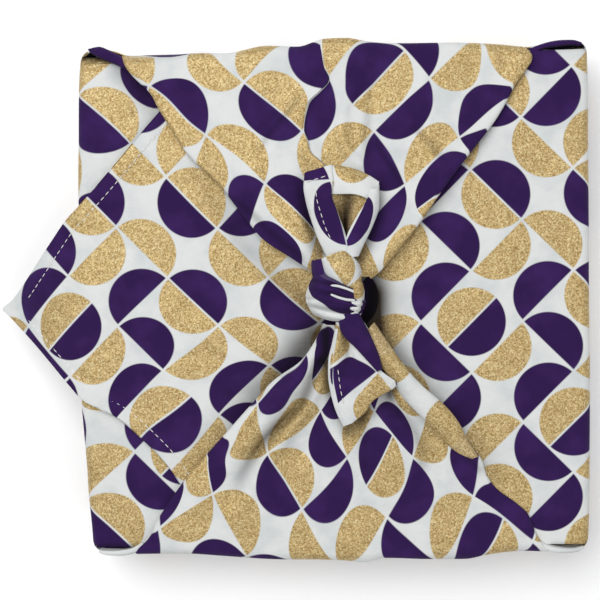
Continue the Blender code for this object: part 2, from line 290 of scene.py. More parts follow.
def wall_cells(cells, side_x, side_y, along, level, flat_x, flat_y):
    """Cells on a wall: the flap's own at its top, and those of the underside at its foot."""
    top_u, top_v = cells(flat_x, flat_y)
    beyond = HALF + along - foot_start(level) - FOOT_ROUND
    low_x = np.where(side_x != 0, side_x * beyond, flat_x)
    low_y = np.where(side_y != 0, side_y * beyond, flat_y)
    low_u, low_v = under_cells(low_x, low_y)
    low = 1 - ease(along, foot_start(level), OWN_CELLS_END)
    return top_u + low * (low_u - top_u), top_v + low * (low_v - top_v)


# %% [markdown]
# ## The underside and the side walls
# The underside is a plain square, pulled tight. The walls on the left and right belong to their flaps' panels
# and go round the upright corners. The two at the back and front are panels of their own, made further down.
# They meet those round corners with a small step, which gives the upright fold line of a wrapped corner.

# %% Underside
UNDER_STEPS = 26


def place_under(x, y):
    u, v = under_cells(x, y)
    return x, y, np.full_like(x, FLOOR_LEVEL), u, v


UNDER_REACH = HALF - FOOT_ROUND
panel("underside", np.linspace(-UNDER_REACH, UNDER_REACH, UNDER_STEPS),
      np.linspace(-UNDER_REACH, UNDER_REACH, UNDER_STEPS), place_under)

# %% [markdown]
# ## The left and right flaps
# Both lie flat, as paper on a parcel does. The right one is the longer: past the left edge of the box it
# hangs loose, a square corner with both hems showing. Its two sides are tables of places along the flap.

# %% Sides of the flaps
CORNER_START = HALF - CORNER_ROUND       # where a wall starts to turn round an upright corner
ROUND_CORNER = CORNER_START + CORNER_ROUND * math.pi / 2
Side = namedtuple("Side", "inward low high")

LEFT_SIDES = rows_of(Side, (
    (-60, -ROUND_CORNER, ROUND_CORNER), (-1.2, -ROUND_CORNER, ROUND_CORNER), (1, -110.8, 106.4),
    (20, -110.6, 106.8), (44, -109.5, 107.5), (58, -62, 62), (105, -9, 9),
))

RIGHT_SIDES = rows_of(Side, (
    (-60, -ROUND_CORNER, ROUND_CORNER), (-1.2, -ROUND_CORNER, ROUND_CORNER), (1, -110.4, 109.4),
    (14, -110.2, 109), (40, -109.4, 108.6), (80, -109, 107.5), (156, -108.4, 107.8), (166, -103, 107),
    (178, -90, 97), (189, -73.5, 85.6), (200, -61.5, 73.4), (212, -51.2, 59.6), (220, -47.2, 50.6),
    (227, -43.4, 43.2), (233, -37, 37.4), (241, -28, 27), (249, -19.4, 16), (256, -12.6, 7),
    (262, -7.2, 0.6), (266.5, -3.6, -2.4),
))

# %% Bulges along the top edges
Bulge = namedtuple("Bulge", "at out")
LEFT_CREST = rows_of(Bulge, (
    (-112, 0), (-100, 0.6), (-87, 1.7), (-75, 2.2), (-60, 3.2), (-45, 4), (0, 4), (55, 3.8), (72, 3.2),
    (92, 2.7), (104, 2.2), (112, 1.4),
))
RIGHT_CREST = rows_of(Bulge, (
    (-112, -1), (-96, -0.4), (-70, 0), (0, 0.3), (112, -0.1),
))

# %% The loose corner and the creases
Lift = namedtuple("Lift", "inward height")
LOOSE_CORNER = rows_of(Lift, (
    (150, 0), (205, 0.5), (219, 0.8), (227, 0.1), (233, -1.5), (241, -4.6), (249, -8.6), (256, -12.6),
    (262, -16), (266.5, -18.4),
))

RIGHT_CREASES = (
    Crease(12, 5, ((-114, 44, 0), (-126, 30, -0.8), (-140, 10, 1), (-150, 0, 0))),
    Crease(5, 14, ((-100, -40, 0), (-118, -24, 0.9), (-134, -14, 1.1), (-150, -5, 0))),
    Crease(2, 3.5, ((-68, -6, 0), (-60, -13, 0.5), (-50, -22, 0.7), (-38, -30, 0))),
    Crease(9, 16, ((-112, -10, 0), (-104, 4, 0.7), (-100, 28, 0))),
    Crease(7, 7, ((22, -12, 0), (34, -22, -0.7), (52, -44, -0.5), (70, -70, 0))),
    Crease(9, 5, ((30, 28, 0), (52, 52, -0.6), (72, 84, -0.4), (84, 108, 0))),
    Crease(20, 20, ((108, -60, 0), (60, -20, 0.5), (50, 20, 0))),
)

RIGHT_PULLS = rows_of(Pull, (
    (-18, -34, 0, -4.6, 22), (-41, -55, 0.8, -6.1, 22), (-20, 4, 0, 1.6, 22), (-62, 34, 0, 2.2, 36),
    (-80, -31, 2.5, -2, 18), (-88, -60, 3.5, -4.6, 18),
))
LEFT_PULLS = rows_of(Pull, (
    (-110, 84, -2.5, -3.5, 22), (-90, 66, 0, -2.5, 16), (-80, 77, 0.6, 2.2, 9),
))

# %% Painted shade
# How much painted shade darkens the print, from 0 to 1, in the same form as a crease: in deep folds, in the
# pocket mouths, and where the knot and the flap edges cast shadow.
LEFT_SHADES = (
    Crease(2.4, 2.4, ((-112, 109.8, 0.8), (-96, 109.4, 0.85), (-90, 109, 0.5))),
    Crease(2, 2, ((-110, -111.4, 0.6), (-92, -111.2, 0.6))),
    Crease(4.5, 6, ((-92, 104, 0.5), (-80, 88, 0.35), (-70, 74, 0.25), (-56, 58, 0.1))),
)
RIGHT_SHADES = (
    Crease(7, 7, ((12, 12, 0.6), (17, 2, 0.95), (15, -10, 0.85), (8, -14, 0.6))),
    Crease(2, 9, ((82, 100, 0.4), (62, 70, 0.45), (46, 50, 0.55), (30, 32, 0.65), (16, 16, 0.75))),
    Crease(9, 9, ((-10, -16, 0.8), (-24, -32, 0.65), (-37, -44, 0.45), (-52, -62, 0.25), (-70, -84, 0.1))),
    Crease(6, 3, ((14, -14, 0.7), (26, -25, 0.5), (40, -40, 0.35), (56, -58, 0.25), (68, -80, 0.2))),
    Crease(4, 6, ((-12, -2, 0.5), (-30, 12, 0.25), (-48, 34, 0.2), (-62, 58, 0.15))),
    Crease(2, 2, ((92, 111.4, 0.7), (110, 111.4, 0.7))),
    Crease(1.6, 1.6, ((96, -111.4, 0.6), (109, -111.4, 0.7))),
)


# %% Columns of a flat flap
EDGE_STEPS = np.array([0.0, 0.5, 1.4, 2.6, 4.2, 5.8, 7.6, 9.0, 10.8, 13.0])
LEAST_MIDDLE = 6.0                       # the margins shrink together where less than this is left between
RETURN_STEPS = 7                         # columns in the fold that goes down between the box and a tied flap


def flap_columns(middle):
    """Column numbers: whole numbers count the return and the margin steps at either side."""
    return np.arange(2 * (len(EDGE_STEPS) + RETURN_STEPS) + middle, dtype=float)


def across_at(column, low, high, last):
    """Places across a flap: the same margin steps inside each side, and even steps between them."""
    margin = len(EDGE_STEPS) - 1
    keep = np.minimum(1.0, (high - low) / (2 * EDGE_STEPS[-1] + LEAST_MIDDLE))
    inset = EDGE_STEPS[-1] * keep
    from_low = low + np.interp(column, np.arange(margin + 1), EDGE_STEPS) * keep
    from_high = high - np.interp(last - column, np.arange(margin + 1), EDGE_STEPS) * keep
    share = (column - margin) / (last - 2 * margin)
    middle = low + inset + share * (high - low - 2 * inset)
    return np.where(column <= margin, from_low, np.where(column >= last - margin, from_high, middle))


HEM_RISE, HEM_FROM, HEM_TO = 0.45, HEM - 1.2, HEM + 0.6


def hem_step(hem):
    """A hem is folded twice, so it stands a little proud of the single cloth."""
    return HEM_RISE * (1 - ease(hem, HEM_FROM, HEM_TO))


def extra_length(rows, at):
    """How much longer the cloth is than its plan, where it slopes down."""
    fine = np.arange(rows[0].inward, rows[-1].inward, 1.0)
    slope = np.gradient(table(rows, "height", fine), fine)
    return np.interp(at, fine, np.cumsum(np.sqrt(1 + slope**2) - 1))


# %% Flat flaps
RETURN = 20.0                            # how deep the fold beside the box goes
RETURN_SHARES = (0.0, 0.06, 0.14, 0.2, 0.36, 0.44, 1.0)
RETURN_OUT = (0, 0.06, 0.14, 0.3, 0.9, 1, 1)         # how far it has gone out at each of those shares,
RETURN_LOWER = (0, 0.4, 0.9, 1, 1, 1, 1)             # how far down to the box,
RETURN_BELOW = (0, 0, 0, 0, 0.01, 0.1, 0.8)          # and how far down beside it
RETURN_SOFT = 6
OVER_BOX, BESIDE_BOX, LEAST_BESIDE = 0.8, 0.9, 0.3   # how close that fold lies to the box
COVERED_SIDE = HALF - 4.2                # a flat flap ends here where the upper one draws in over it,
COVERED = (-97, -93, 60, 75)             # between these places, softly at either end
HEMMED_FROM, NO_HEM = 164, 99.0          # the right flap's sides are the cloth's own edges from here on
CORNER_STEP = 0.6                        # how far a round corner stands off the wall that it meets
# Soft steps, each from where it starts to where it is full. Those ALONG are counted along the cloth from
# the turn over the top edge, those IN as a distance in from the parcel's side, and those UP from the floor.
RETURN_ALONG, FLAT_TOP_ALONG, ROUND_ALONG = (1, 8), (0, 10), (1, 3.6)
CREST_ALONG, CREST_IN = (-26, -2), (2, 20)
BULGE_UP = (4, 30)


def place_flat(side, sides, crest, level, creases, pulls, cells, lift, last_column, return_end):
    """Places and cells of a flat flap: side is -1 for the left one and 1 for the right one."""
    def place(along, column):
        out, high = over_edge(along, level)
        foot_in = np.where(along < 0, HALF - out, 0)
        inward = flat_inward(along)
        low_side = table(sides, "low", inward)
        high_side = table(sides, "high", inward)
        last = last_column - 2 * RETURN_STEPS
        down_low = np.clip(RETURN_STEPS - column, 0, RETURN_STEPS)
        down_high = np.clip(column - last - RETURN_STEPS, 0, RETURN_STEPS)
        down = (down_low + down_high) / RETURN_STEPS
        down = down * ease(along, *RETURN_ALONG) * (1 - ease(inward, return_end - RETURN_SOFT, return_end))
        hand = np.where(column < last_column / 2, -1.0, 1.0)
        column = np.clip(column - RETURN_STEPS, 0, last)
        y = across_at(column, low_side, high_side, last)
        on_top = ease(along, *FLAT_TOP_ALONG)
        out = out + smooth(y, [b.at for b in crest], [b.out for b in crest]) * (
            ease(along, *CREST_ALONG) * (1 - ease(inward, *CREST_IN)))
        x = side * out
        plan_x = side * (HALF - inward)
        stretch = extra_length(lift, inward) if lift else 0.0
        flat_x, flat_y = pulled(pulls, plan_x - side * stretch, y + hand * down * RETURN)
        u, v = wall_cells(cells, side, 0, along, level, flat_x, flat_y)
        z = high + on_top * (crease_height(creases, x, y) + unevenness(x, y, *FLAT_WAVES))
        if lift:
            edge = np.minimum(y - low_side, high_side - y) * math.sqrt(0.5)
            hem = np.where(inward > HEMMED_FROM, np.abs(edge), NO_HEM)
            z = z + table(lift, "height", inward) + hem_step(hem)
        bulge = (1 - on_top) * ease(high, *BULGE_UP) * unevenness(y, high, *SIDE_WAVES)
        turn = np.clip((abs(y) - CORNER_START) / CORNER_ROUND, 0, math.pi / 2)
        turn = turn * (1 - ease(along, *ROUND_ALONG))
        x = x + side * (bulge - (CORNER_ROUND - CORNER_STEP - foot_in) * (1 - np.cos(turn)))
        round_y = np.sign(y) * (CORNER_START + (CORNER_ROUND + CORNER_STEP - foot_in) * np.sin(turn))
        y = np.where(turn > 0, round_y, y)
        drop = z - (box_high[2] + OVER_BOX)
        beside = np.maximum(box_high[1] + BESIDE_BOX - abs(y), LEAST_BESIDE)
        y = y + hand * beside * np.interp(down, RETURN_SHARES, RETURN_OUT)
        z = z - drop * np.interp(down, RETURN_SHARES, RETURN_LOWER)
        z = z - RETURN * np.interp(down, RETURN_SHARES, RETURN_BELOW)
        covered = ease(x, *COVERED[:2]) * (1 - ease(x, *COVERED[2:]))
        y = y + covered * (np.minimum(y, COVERED_SIDE) - y)
        return x, y, z, u, v
    return place


WALL_END = -1.5                          # the last row on the wall, just below the turn over the top edge
FLAT_WALL_STEPS, TURN_STEPS = 10, 7


def flap_rows(level, end, step):
    """Distances along a flap: up the wall, round its top edge, and in over the box to its end."""
    wall = np.linspace(foot_start(level), WALL_END, FLAT_WALL_STEPS)
    turn = np.linspace(0, EDGE_ROUND * math.pi / 2, TURN_STEPS)
    last = end + EDGE_ROUND * (math.pi / 2 - 1)
    top = np.arange(turn[-1] + step, last - 0.01, step)
    return np.concatenate([wall, turn, top, [last]])


LEFT_COLUMNS, RIGHT_COLUMNS = flap_columns(34), flap_columns(76)
LEFT_STEP, RIGHT_STEP = 3.0, 2.4
LEFT_RETURN_END, RIGHT_RETURN_END = 46, 150
place_left = place_flat(-1, LEFT_SIDES, LEFT_CREST, LEFT_LEVEL, (), LEFT_PULLS, left_cells, (),
                        LEFT_COLUMNS[-1], LEFT_RETURN_END)
place_right = place_flat(1, RIGHT_SIDES, RIGHT_CREST, RIGHT_LEVEL, RIGHT_CREASES, RIGHT_PULLS, right_cells,
                         LOOSE_CORNER, RIGHT_COLUMNS[-1], RIGHT_RETURN_END)
panel("left_flap", flap_rows(LEFT_LEVEL, LEFT_SIDES[-1].inward, LEFT_STEP), LEFT_COLUMNS, place_left,
      LEFT_SHADES)
panel("right_flap", flap_rows(RIGHT_LEVEL, RIGHT_SIDES[-1].inward, RIGHT_STEP), RIGHT_COLUMNS, place_right,
      RIGHT_SHADES)

# %% [markdown]
# ## The gathered flaps
# The other two corners are drawn in to the knot. Their sides are turned under, which shows as a soft rolled
# edge, and at the corners of the box the turned edge becomes the lip of a pocket. So each row of this grid
# runs from a strip that lies underneath, round a roll, across the top, and round and under again.

# %% Tables of the gathered flaps
UPPER_SIDES = rows_of(Side, (
    (0.5, -94.6, 83), (5, -91.6, 87.2), (8, -89.5, 85.6), (18.5, -81.6, 78.8), (24, -78.9, 76),
    (33, -73.6, 70.5), (45, -66, 61), (60, -51.3, 49.2), (76, -39, 38), (84, -32, 31.6), (92, -20, 25),
    (99, -10.5, 18.6), (104, -7, 12),
))
LOWER_SIDES = rows_of(Side, (
    (0.5, -92, 91.5), (3, -89.3, 90), (8, -85, 87.2), (12.5, -82.9, 85.2), (15.5, -81, 83.8),
    (19, -78.3, 79.6), (25.5, -73.8, 70.8), (31.5, -69.2, 66.2), (41, -61, 62.6), (47, -55.5, 57),
    (53, -50, 49.5), (66.5, -37.7, 39), (76, -28.6, 31), (84, -17.2, 24), (92, -11, 18), (103, -5.4, 11),
))
TIE_LIFT = rows_of(Lift, (
    (0, 0), (24, 0.5), (46, 1.3), (60, 2), (75, 3.4), (84, 4.8), (92, 6.2), (99, 7.2), (105, 7.8),
))
UPPER_CREST = rows_of(Bulge, (
    (-112, 0.6), (-104, 1.6), (-97, 0), (-90, -3.2), (-74, -3.2), (-60, -1.6), (-48, -1.8), (-30, 1.2),
    (-16, 0.6), (-5, 3.8), (5, 4.2), (14, 2.6), (24, 1.5), (58, 1), (75, -0.2), (84, -1.2), (96, 0.4),
    (112, 0.4),
))
LOWER_CREST = rows_of(Bulge, (
    (-112, 1), (-98, 1.6), (-72, 1.5), (-52, 2.8), (-34, 4.2), (2, 5.2), (11, 6), (20, 4.2), (38, 4.8),
    (56, 4.9), (65, 3.2), (82, 1.4), (95, 1.8), (112, 1),
))
UPPER_CREASES = (
    Crease(5, 2.6, ((1, 110, 0), (-12, 93, 0.6), (-22, 78, 1.2), (-34, 60, 0.8), (-44, 46, 0))),
    Crease(5, 3.4, ((-92, 104, 0.8), (-66, 68, 1.4), (-48, 48, 1.8), (-30, 27, 1.6), (-16, 20, 0.5))),
    Crease(2.2, 3.4, ((-62, 62, 0), (-52, 50, -0.7), (-38, 40, -1), (-28, 30, -0.6), (-20, 24, 0))),
    Crease(3, 3, ((12, 113, 0.6), (11, 99, 1.2), (4, 84, 1.8), (3, 72, 1.6), (10, 60, 1.5))),
    Crease(1.8, 1.8, ((15, 112, 0), (17, 98, -0.5), (15, 84, -1), (14, 70, -1.2), (15, 60, -0.8))),
    Crease(3, 5, ((85, 110, 0.8), (76, 90, 1.2), (58, 64, 1.6), (38, 37, 2), (22, 18, 1))),
    Crease(2.6, 2.6, ((40, 70, 0), (44, 58, 1.2), (47, 50, 1.4), (44, 40, 0))),
    Crease(4.2, 3.2, ((66, 82, 0), (56, 66, 1.6), (46, 53, 1.8), (30, 34, 1.4), (18, 20, 0))),
    Crease(2.2, 2.2, ((58, 64, 0), (50, 55, -0.6), (38, 42, -0.8), (26, 29, -0.6), (16, 18, 0))),
    Crease(3.4, 3.4, ((-30, 62, 0), (-24, 48, 1.2), (-16, 34, 1.4), (-10, 24, 0))),
    Crease(2.4, 2.4, ((-18, 58, 0), (-15, 46, -1), (-10, 32, -1.4), (-6, 22, 0))),
    Crease(1.6, 3, ((68, 112, 0.4), (71, 106, 0.7), (70, 96, 0.3), (69, 90, 0))),
)
LOWER_CREASES = (
    Crease(4.2, 5, ((-66, -94, 0), (-54, -78, 1.6), (-41, -61, 3.2), (-29, -47, 4.6), (-20, -36, 4.6),
                    (-11, -24, 2.6))),
    Crease(2.4, 2.4, ((-52, -96, 0), (-47.2, -85, -0.7), (-39.7, -70.5, -1.3), (-30, -59, -1.8),
                      (-17, -45.5, -2.2), (-9, -26.8, -1.2))),
    Crease(4.2, 3.6, ((-48, -100, 0), (-40, -86, 1.2), (-31, -70, 2.4), (-21, -56, 3.2), (-11, -42, 3.2),
                      (-5, -26, 1.8))),
    Crease(4.4, 4.4, ((-34, -96, 0), (-20, -74, -1), (-8, -56, -1.4), (-2, -40, -0.8))),
    Crease(3.4, 3.4, ((8, -100, 0), (2, -80, -0.5), (-6, -60, 0))),
    Crease(3, 3, ((34, -84, 0), (37, -72, -1.3), (35, -62, -1.5), (26, -48, -0.8), (18, -36, 0))),
    Crease(4, 4, ((46, -96, 0), (47, -78, 1.2), (42, -60, 1.6), (30, -42, 1))),
    Crease(4.6, 4.6, ((20, -92, 0), (24, -74, 1), (20, -56, 1.6), (12, -36, 1))),
    Crease(3, 3, ((10, -70, 0), (10, -54, -1.6), (8, -40, -2), (5, -26, -1))),
    Crease(2.6, 4, ((94, -110, 0.4), (82, -94, 1), (70, -80, 1.2), (56, -60, 1.4), (42, -42, 2))),
    Crease(8, 8, ((-60, -112, 0), (-52, -100, 0.9), (-44, -86, 0))),
    Crease(7, 7, ((8, -114, 1.2), (8, -104, 0.6), (10, -94, 0))),
    Crease(5, 5, ((52, -113, 1.2), (50, -104, 0.6), (46, -96, 0))),
    Crease(4, 4, ((30, -113, -0.8), (30, -104, -0.5), (28, -96, 0))),
)

# %% A gathered flap
LIP_START = -3.0                         # the turned side starts here, just under the top edge,
LIP_END = EDGE_ROUND * math.pi / 2 + 2.5            # and has its full width here
LIP_LEVEL, LIP_WIDTH = 0.5, 8.0
UPPER_LIPS, LOWER_LIPS = (-93.5, 82), (-92, 94)     # where the gathered edges reach the walls
TUCK = 16.0                              # how much cloth is turned in under a side
TUCK_CLEAR = 4.6                         # how far that turned edge stays inside the wall
TUCK_STEPS, ROLL_STEPS = 4, 5            # columns in it, and in the roll beside it
TIE_MIDDLE = 118                         # columns across the top
TIE_END, TIE_STEP = 104, 1.3
WALL_STEPS, LIP_STEPS = 12, 14
FOLD_START, FOLD_END = 53 / TIE_MIDDLE, 56 / TIE_MIDDLE
Gather = namedtuple("Gather", "shift shift_in start growth power drop bow")
UPPER_GATHER = Gather(-1.0, 0.0, 1.0, 0.83, 2.0, 1.0, 0.0)
LOWER_GATHER = Gather(4.4, -10.0, 1.05, 1.94, 1.8, -5.5, -0.0024)
Tuck = namedtuple("Tuck", "y x hidden")
UPPER_TUCK = rows_of(Tuck, (
    (40, 2, 12), (56, -2, 11), (61, -6, 10.5), (65, -10.5, 10), (70, -12, 10), (77, -13.4, 10),
    (84, -12.4, 10), (88.5, -10.8, 10), (92.5, -6.2, 9.6), (96.5, -2.6, 9), (101, -5, 9), (112, -5.6, 9),
))
FOLD_WIDTH, FOLD_RISE, FOLD_SOFT = 1.1, 1.9, 9.0
GATHER_LENGTH, GATHER_END = 100, 1.1     # the way in to the knot, and the share of it where the gather ends
BOW_MIDDLE = 8                           # the line about which the print on the lower flap bows
DOME, DOME_POWER = 0.35, 3               # how much lower a gathered flap lies at its sides
TUCK_SHARE_IN, TUCK_SHARE_ACROSS = 0.8, 0.3          # the most that the turned side takes of the flap
TUCK_SOFT, TUCK_BELOW = 3.0, 0.2
SLOPE_STEP = 0.5
# Soft steps again, from start to full.
TIE_CREST_ALONG, TIE_CREST_IN = (-16, 2), (3, 22)
TIE_TOP_ALONG, LAP_IN = (0, 9), (3, 12)
RIPPLE_UP, RIPPLE_OFF = (3, 20), (30, 38)


def gathered(gather, tucks, x, y, inward):
    """Where a place on a gathered flap would be if the flap were smoothed out again."""
    share = np.clip(inward / GATHER_LENGTH, 0, GATHER_END)
    stretch = gather.start + gather.growth * share**gather.power
    flat_x = gather.shift + gather.shift_in * share + stretch * x
    if tucks:
        fold_x, hidden = (smooth(abs(y), [t.y for t in tucks], [t[k] for t in tucks]) for k in (1, 2))
        flat_x = flat_x + hidden * ease(x, fold_x - FOLD_WIDTH / 2, fold_x + FOLD_WIDTH / 2)
    return flat_x, y + gather.drop + gather.bow * (x - BOW_MIDDLE) ** 2


def tie_section(side, sides, crest, creases, gather, tucks, pulls, lips):
    """Places and cells of a gathered flap, by its distance along and its spot across, from 0 to 1."""
    def ends(along):
        inward = flat_inward(along)
        turned = ease(along, LIP_START, LIP_END)
        low = lips[0] + turned * (table(sides, "low", inward) + ROLL - lips[0])
        high = lips[1] + turned * (table(sides, "high", inward) - ROLL - lips[1])
        return low, high, turned

    def top(along, share, wall=False):
        low, high, turned = ends(along)
        if wall:
            low, high = np.full_like(low, -CORNER_START), np.full_like(high, CORNER_START)
        x = low + share * (high - low)
        if tucks:
            fold_x = smooth(HALF - flat_inward(along), [t.y for t in tucks], [t.x for t in tucks])
            x = np.where(share < FOLD_START, low + share / FOLD_START * (fold_x - FOLD_WIDTH / 2 - low), x)
            x = np.where(share > FOLD_END, high - (1 - share) / (1 - FOLD_END) * (
                high - fold_x - FOLD_WIDTH / 2), x)
            inside = (share >= FOLD_START) & (share <= FOLD_END)
            in_fold = (share - FOLD_START) / (FOLD_END - FOLD_START) - 0.5
            x = np.where(inside, fold_x + FOLD_WIDTH * in_fold, x)
        from_edge = np.minimum(x - low, high - x)
        kept = ease(from_edge, 0, LIP_WIDTH) * (1 - turned) + turned
        along = np.where(along > LIP_LEVEL, LIP_LEVEL + (along - LIP_LEVEL) * kept, along)
        inward = flat_inward(along)
        out, high_z = over_edge(along, TIE_LEVEL)
        out = out + smooth(x, [b.at for b in crest], [b.out for b in crest]) * (
            ease(along, *TIE_CREST_ALONG) * (1 - ease(inward, *TIE_CREST_IN)))
        y = side * out
        on_top = ease(along, *TIE_TOP_ALONG)
        dome = 1 - DOME * np.abs(2 * share - 1) ** DOME_POWER
        lift = table(TIE_LIFT, "height", inward) * dome
        z = high_z + on_top * (lift + crease_height(creases, x, y) + unevenness(x, y, *TIE_WAVES))
        if tucks:
            lap = FOLD_RISE * np.exp(-((np.minimum(x - fold_x, 0) / FOLD_SOFT) ** 2))
            past_fold = ease(x, fold_x - FOLD_WIDTH / 2, fold_x + FOLD_WIDTH / 2)
            z = z + ease(inward, *LAP_IN) * lap * (1 - past_fold)
        plan_y = side * (HALF - inward)
        flat_x, flat_y = gathered(gather, tucks, *pulled(pulls, x, plan_y), inward)
        return x, y, z, flat_x, flat_y
    return ends, top


def place_tie(side, sides, creases, section, cells):
    """A gathered flap from its top edge in to the knot, with both of its sides rolled under."""
    ends, top = section
    last = 2 * (TUCK_STEPS + ROLL_STEPS) + TIE_MIDDLE

    def place(along, column):
        from_left, from_right = column, last - column
        on_left = from_left < from_right
        near = np.minimum(from_left, from_right)
        border = TUCK_STEPS + ROLL_STEPS
        share = np.clip((column - border) / TIE_MIDDLE, 0, 1)
        x, y, z, flat_x, flat_y = top(along, share)
        low, high, turned = ends(along)
        inward = flat_inward(along)
        hand = np.where(on_left, -1.0, 1.0)
        ahead, behind = inward + SLOPE_STEP, inward - SLOPE_STEP
        slope = np.where(on_left, table(sides, "low", ahead) - table(sides, "low", behind),
                         table(sides, "high", ahead) - table(sides, "high", behind))
        size = np.sqrt(1 + slope**2)
        outward = np.stack([turned * hand / size, turned * slope * hand * side / size, 1 - turned], -1)
        outward /= np.linalg.norm(outward, axis=1)[:, None]
        below = np.stack([0 * turned, -side * (1 - turned), -turned], -1)
        below /= np.linalg.norm(below, axis=1)[:, None]
        angle = math.pi * np.clip((border - near) / ROLL_STEPS, 0, 1)
        reach_in = TUCK + turned * (np.minimum(TUCK, TUCK_SHARE_IN * np.maximum(inward, 0)) - TUCK)
        tuck_length = np.minimum(reach_in, TUCK_SHARE_ACROSS * (high - low))
        tucked = tuck_length * np.clip((TUCK_STEPS - near) / TUCK_STEPS, 0, 1)
        spot = np.stack([x, y, z], -1)
        spot += (ROLL * np.sin(angle) - tucked)[:, None] * outward
        spot += (ROLL * (1 - np.cos(angle)))[:, None] * below
        inside = side * np.minimum(side * spot[:, 1], HALF - TUCK_CLEAR)
        spot[:, 1] += ease(tucked, 0, TUCK_SOFT) * (inside - spot[:, 1])
        rise = turned * (crease_height(creases, x, y) + TUCK_BELOW)
        spot[:, 2] -= rise * ease(tucked, 0, TUCK_SOFT)
        hidden = ROLL * angle + tucked
        flat_x = flat_x + hidden * turned * hand
        flat_y = flat_y + side * hidden * (1 - turned)
        u, v = wall_cells(cells, 0, side, along, TIE_LEVEL, flat_x, flat_y)
        return spot[:, 0], spot[:, 1], spot[:, 2], u, v
    return place


def place_tie_wall(side, section, cells):
    """The wall below a gathered flap, from the underside up."""
    ends, top = section

    def place(along, share):
        x, y, z, flat_x, flat_y = top(along, share, wall=True)
        u, v = wall_cells(cells, 0, side, along, TIE_LEVEL, flat_x, flat_y)
        ripple = ease(z, *RIPPLE_UP) * (1 - ease(z, *RIPPLE_OFF)) * unevenness(x, z, *END_WAVES)
        return x, y + side * ripple, z, u, v
    return place


# %% Painted shade in folds, and shifts of the print
UPPER_SHADES = (
    Crease(3, 3, ((-12, 57, 0.15), (-14, 44, 0.3), (-12, 30, 0.4), (-8, 20, 0.5))),
    Crease(3, 3, ((19, 50, 0.25), (19, 38, 0.4), (15, 28, 0.45), (10, 18, 0.6))),
    Crease(1.6, 1.6, ((15, 110, 0), (17, 98, 0.12), (15, 84, 0.2), (14, 70, 0.25), (15, 58, 0.15))),
    Crease(1.6, 2.4, ((-62, 62, 0), (-52, 50, 0.2), (-38, 40, 0.3), (-28, 30, 0.3), (-16, 20, 0.4))),
    Crease(2, 2, ((-18, 58, 0), (-15, 46, 0.25), (-10, 32, 0.3), (-6, 22, 0.4))),
    Crease(1.6, 1, ((-13, 91, 0), (-18, 86, 0.3), (-24, 80, 0.3), (-30, 73, 0.3), (-36, 64, 0.1))),
    Crease(2.4, 1.2, ((33, 77, 0), (38, 72, 0.3), (43, 66, 0.3), (48, 61, 0.1))),
    Crease(1.4, 1.4, ((16, 74, 0), (20, 66, 0.3), (25, 58, 0.35), (29, 51, 0.15))),
)
LOWER_SHADES = (
    Crease(2.2, 3, ((-49.3, -91, 0), (-39.7, -70.5, 0.5), (-30, -58, 0.65), (-17, -45.5, 0.6),
                    (-9, -26.8, 0.6))),
    Crease(3, 3, ((-5, -14, 0.8), (-5, -26, 0.75), (-4, -38, 0.6), (0, -50, 0.45), (4, -58, 0.3))),
    Crease(3, 3, ((4, -58, 0.3), (14, -50, 0.4), (24, -40, 0.4), (26, -34, 0.3))),
    Crease(2.4, 2.4, ((34, -84, 0), (37, -72, 0.3), (35, -62, 0.35), (26, -48, 0.35), (20, -36, 0.4))),
    Crease(3, 3, ((12, -80, 0), (11, -66, 0.25), (10, -54, 0.35), (8, -44, 0.4))),
    Crease(2, 2, ((62, -76, 0.3), (55, -68, 0.3), (44, -60, 0.3), (33, -48, 0.35))),
)
UPPER_PULLS = rows_of(Pull, (
    (-57, 74, 2.7, 0, 16), (-40, 97, 2.2, 0, 18), (-32, 53, 1.6, 0, 12), (-21, 21, -6.5, 0.5, 12),
    (-28, 34, 0, -3, 8), (72, 100, 5.5, 8, 17), (60, 72, 2.3, 4.6, 10), (45, 49, 0.5, 4.6, 13),
    (-70, 76, -0.5, 3.6, 10),
))
LOWER_PULLS = rows_of(Pull, (
    (18, -16, -4.6, 6.2, 10), (-23, -38, 3.6, -3.6, 9), (-43, -57, 3, 0, 7), (-35, -45, 5, 0, 12),
    (-31, -66, 5, -1.5, 14), (-56, -85, 4.5, 0, 16), (-51, -69, 7, 0.5, 9), (-84, -104, 0.4, 3.2, 8),
    (-11, -27, -0.6, -2.2, 8), (21, -96, 1.6, 2, 14), (33, -71, 2, 0, 12), (4, -70, 0, -2, 12),
    (86, -108, 1, 5, 16),
))

# %% Both gathered flaps
TIE_COLUMNS = np.arange(2 * (TUCK_STEPS + ROLL_STEPS) + TIE_MIDDLE + 1, dtype=float)
WALL_COLUMNS = np.linspace(0, 1, TIE_MIDDLE + 1)
wall_rows = np.linspace(foot_start(TIE_LEVEL), LIP_START, WALL_STEPS)
lip_rows = np.linspace(LIP_START, LIP_END, LIP_STEPS)
tie_rows = np.concatenate([lip_rows, np.arange(LIP_END + TIE_STEP, TIE_END, TIE_STEP)])
for name, side, sides, crest, creases, gather, tucks, pulls, cells, lips, shades in (
    ("upper_flap", 1, UPPER_SIDES, UPPER_CREST, UPPER_CREASES, UPPER_GATHER, UPPER_TUCK, UPPER_PULLS,
     upper_cells, UPPER_LIPS, UPPER_SHADES),
    ("lower_flap", -1, LOWER_SIDES, LOWER_CREST, LOWER_CREASES, LOWER_GATHER, (), LOWER_PULLS, lower_cells,
     LOWER_LIPS, LOWER_SHADES),
):
    section = tie_section(side, sides, crest, creases, gather, tucks, pulls, lips)
    panel(name, tie_rows, TIE_COLUMNS, place_tie(side, sides, creases, section, cells), shades)
    panel(name + "_wall", wall_rows, WALL_COLUMNS, place_tie_wall(side, section, cells))

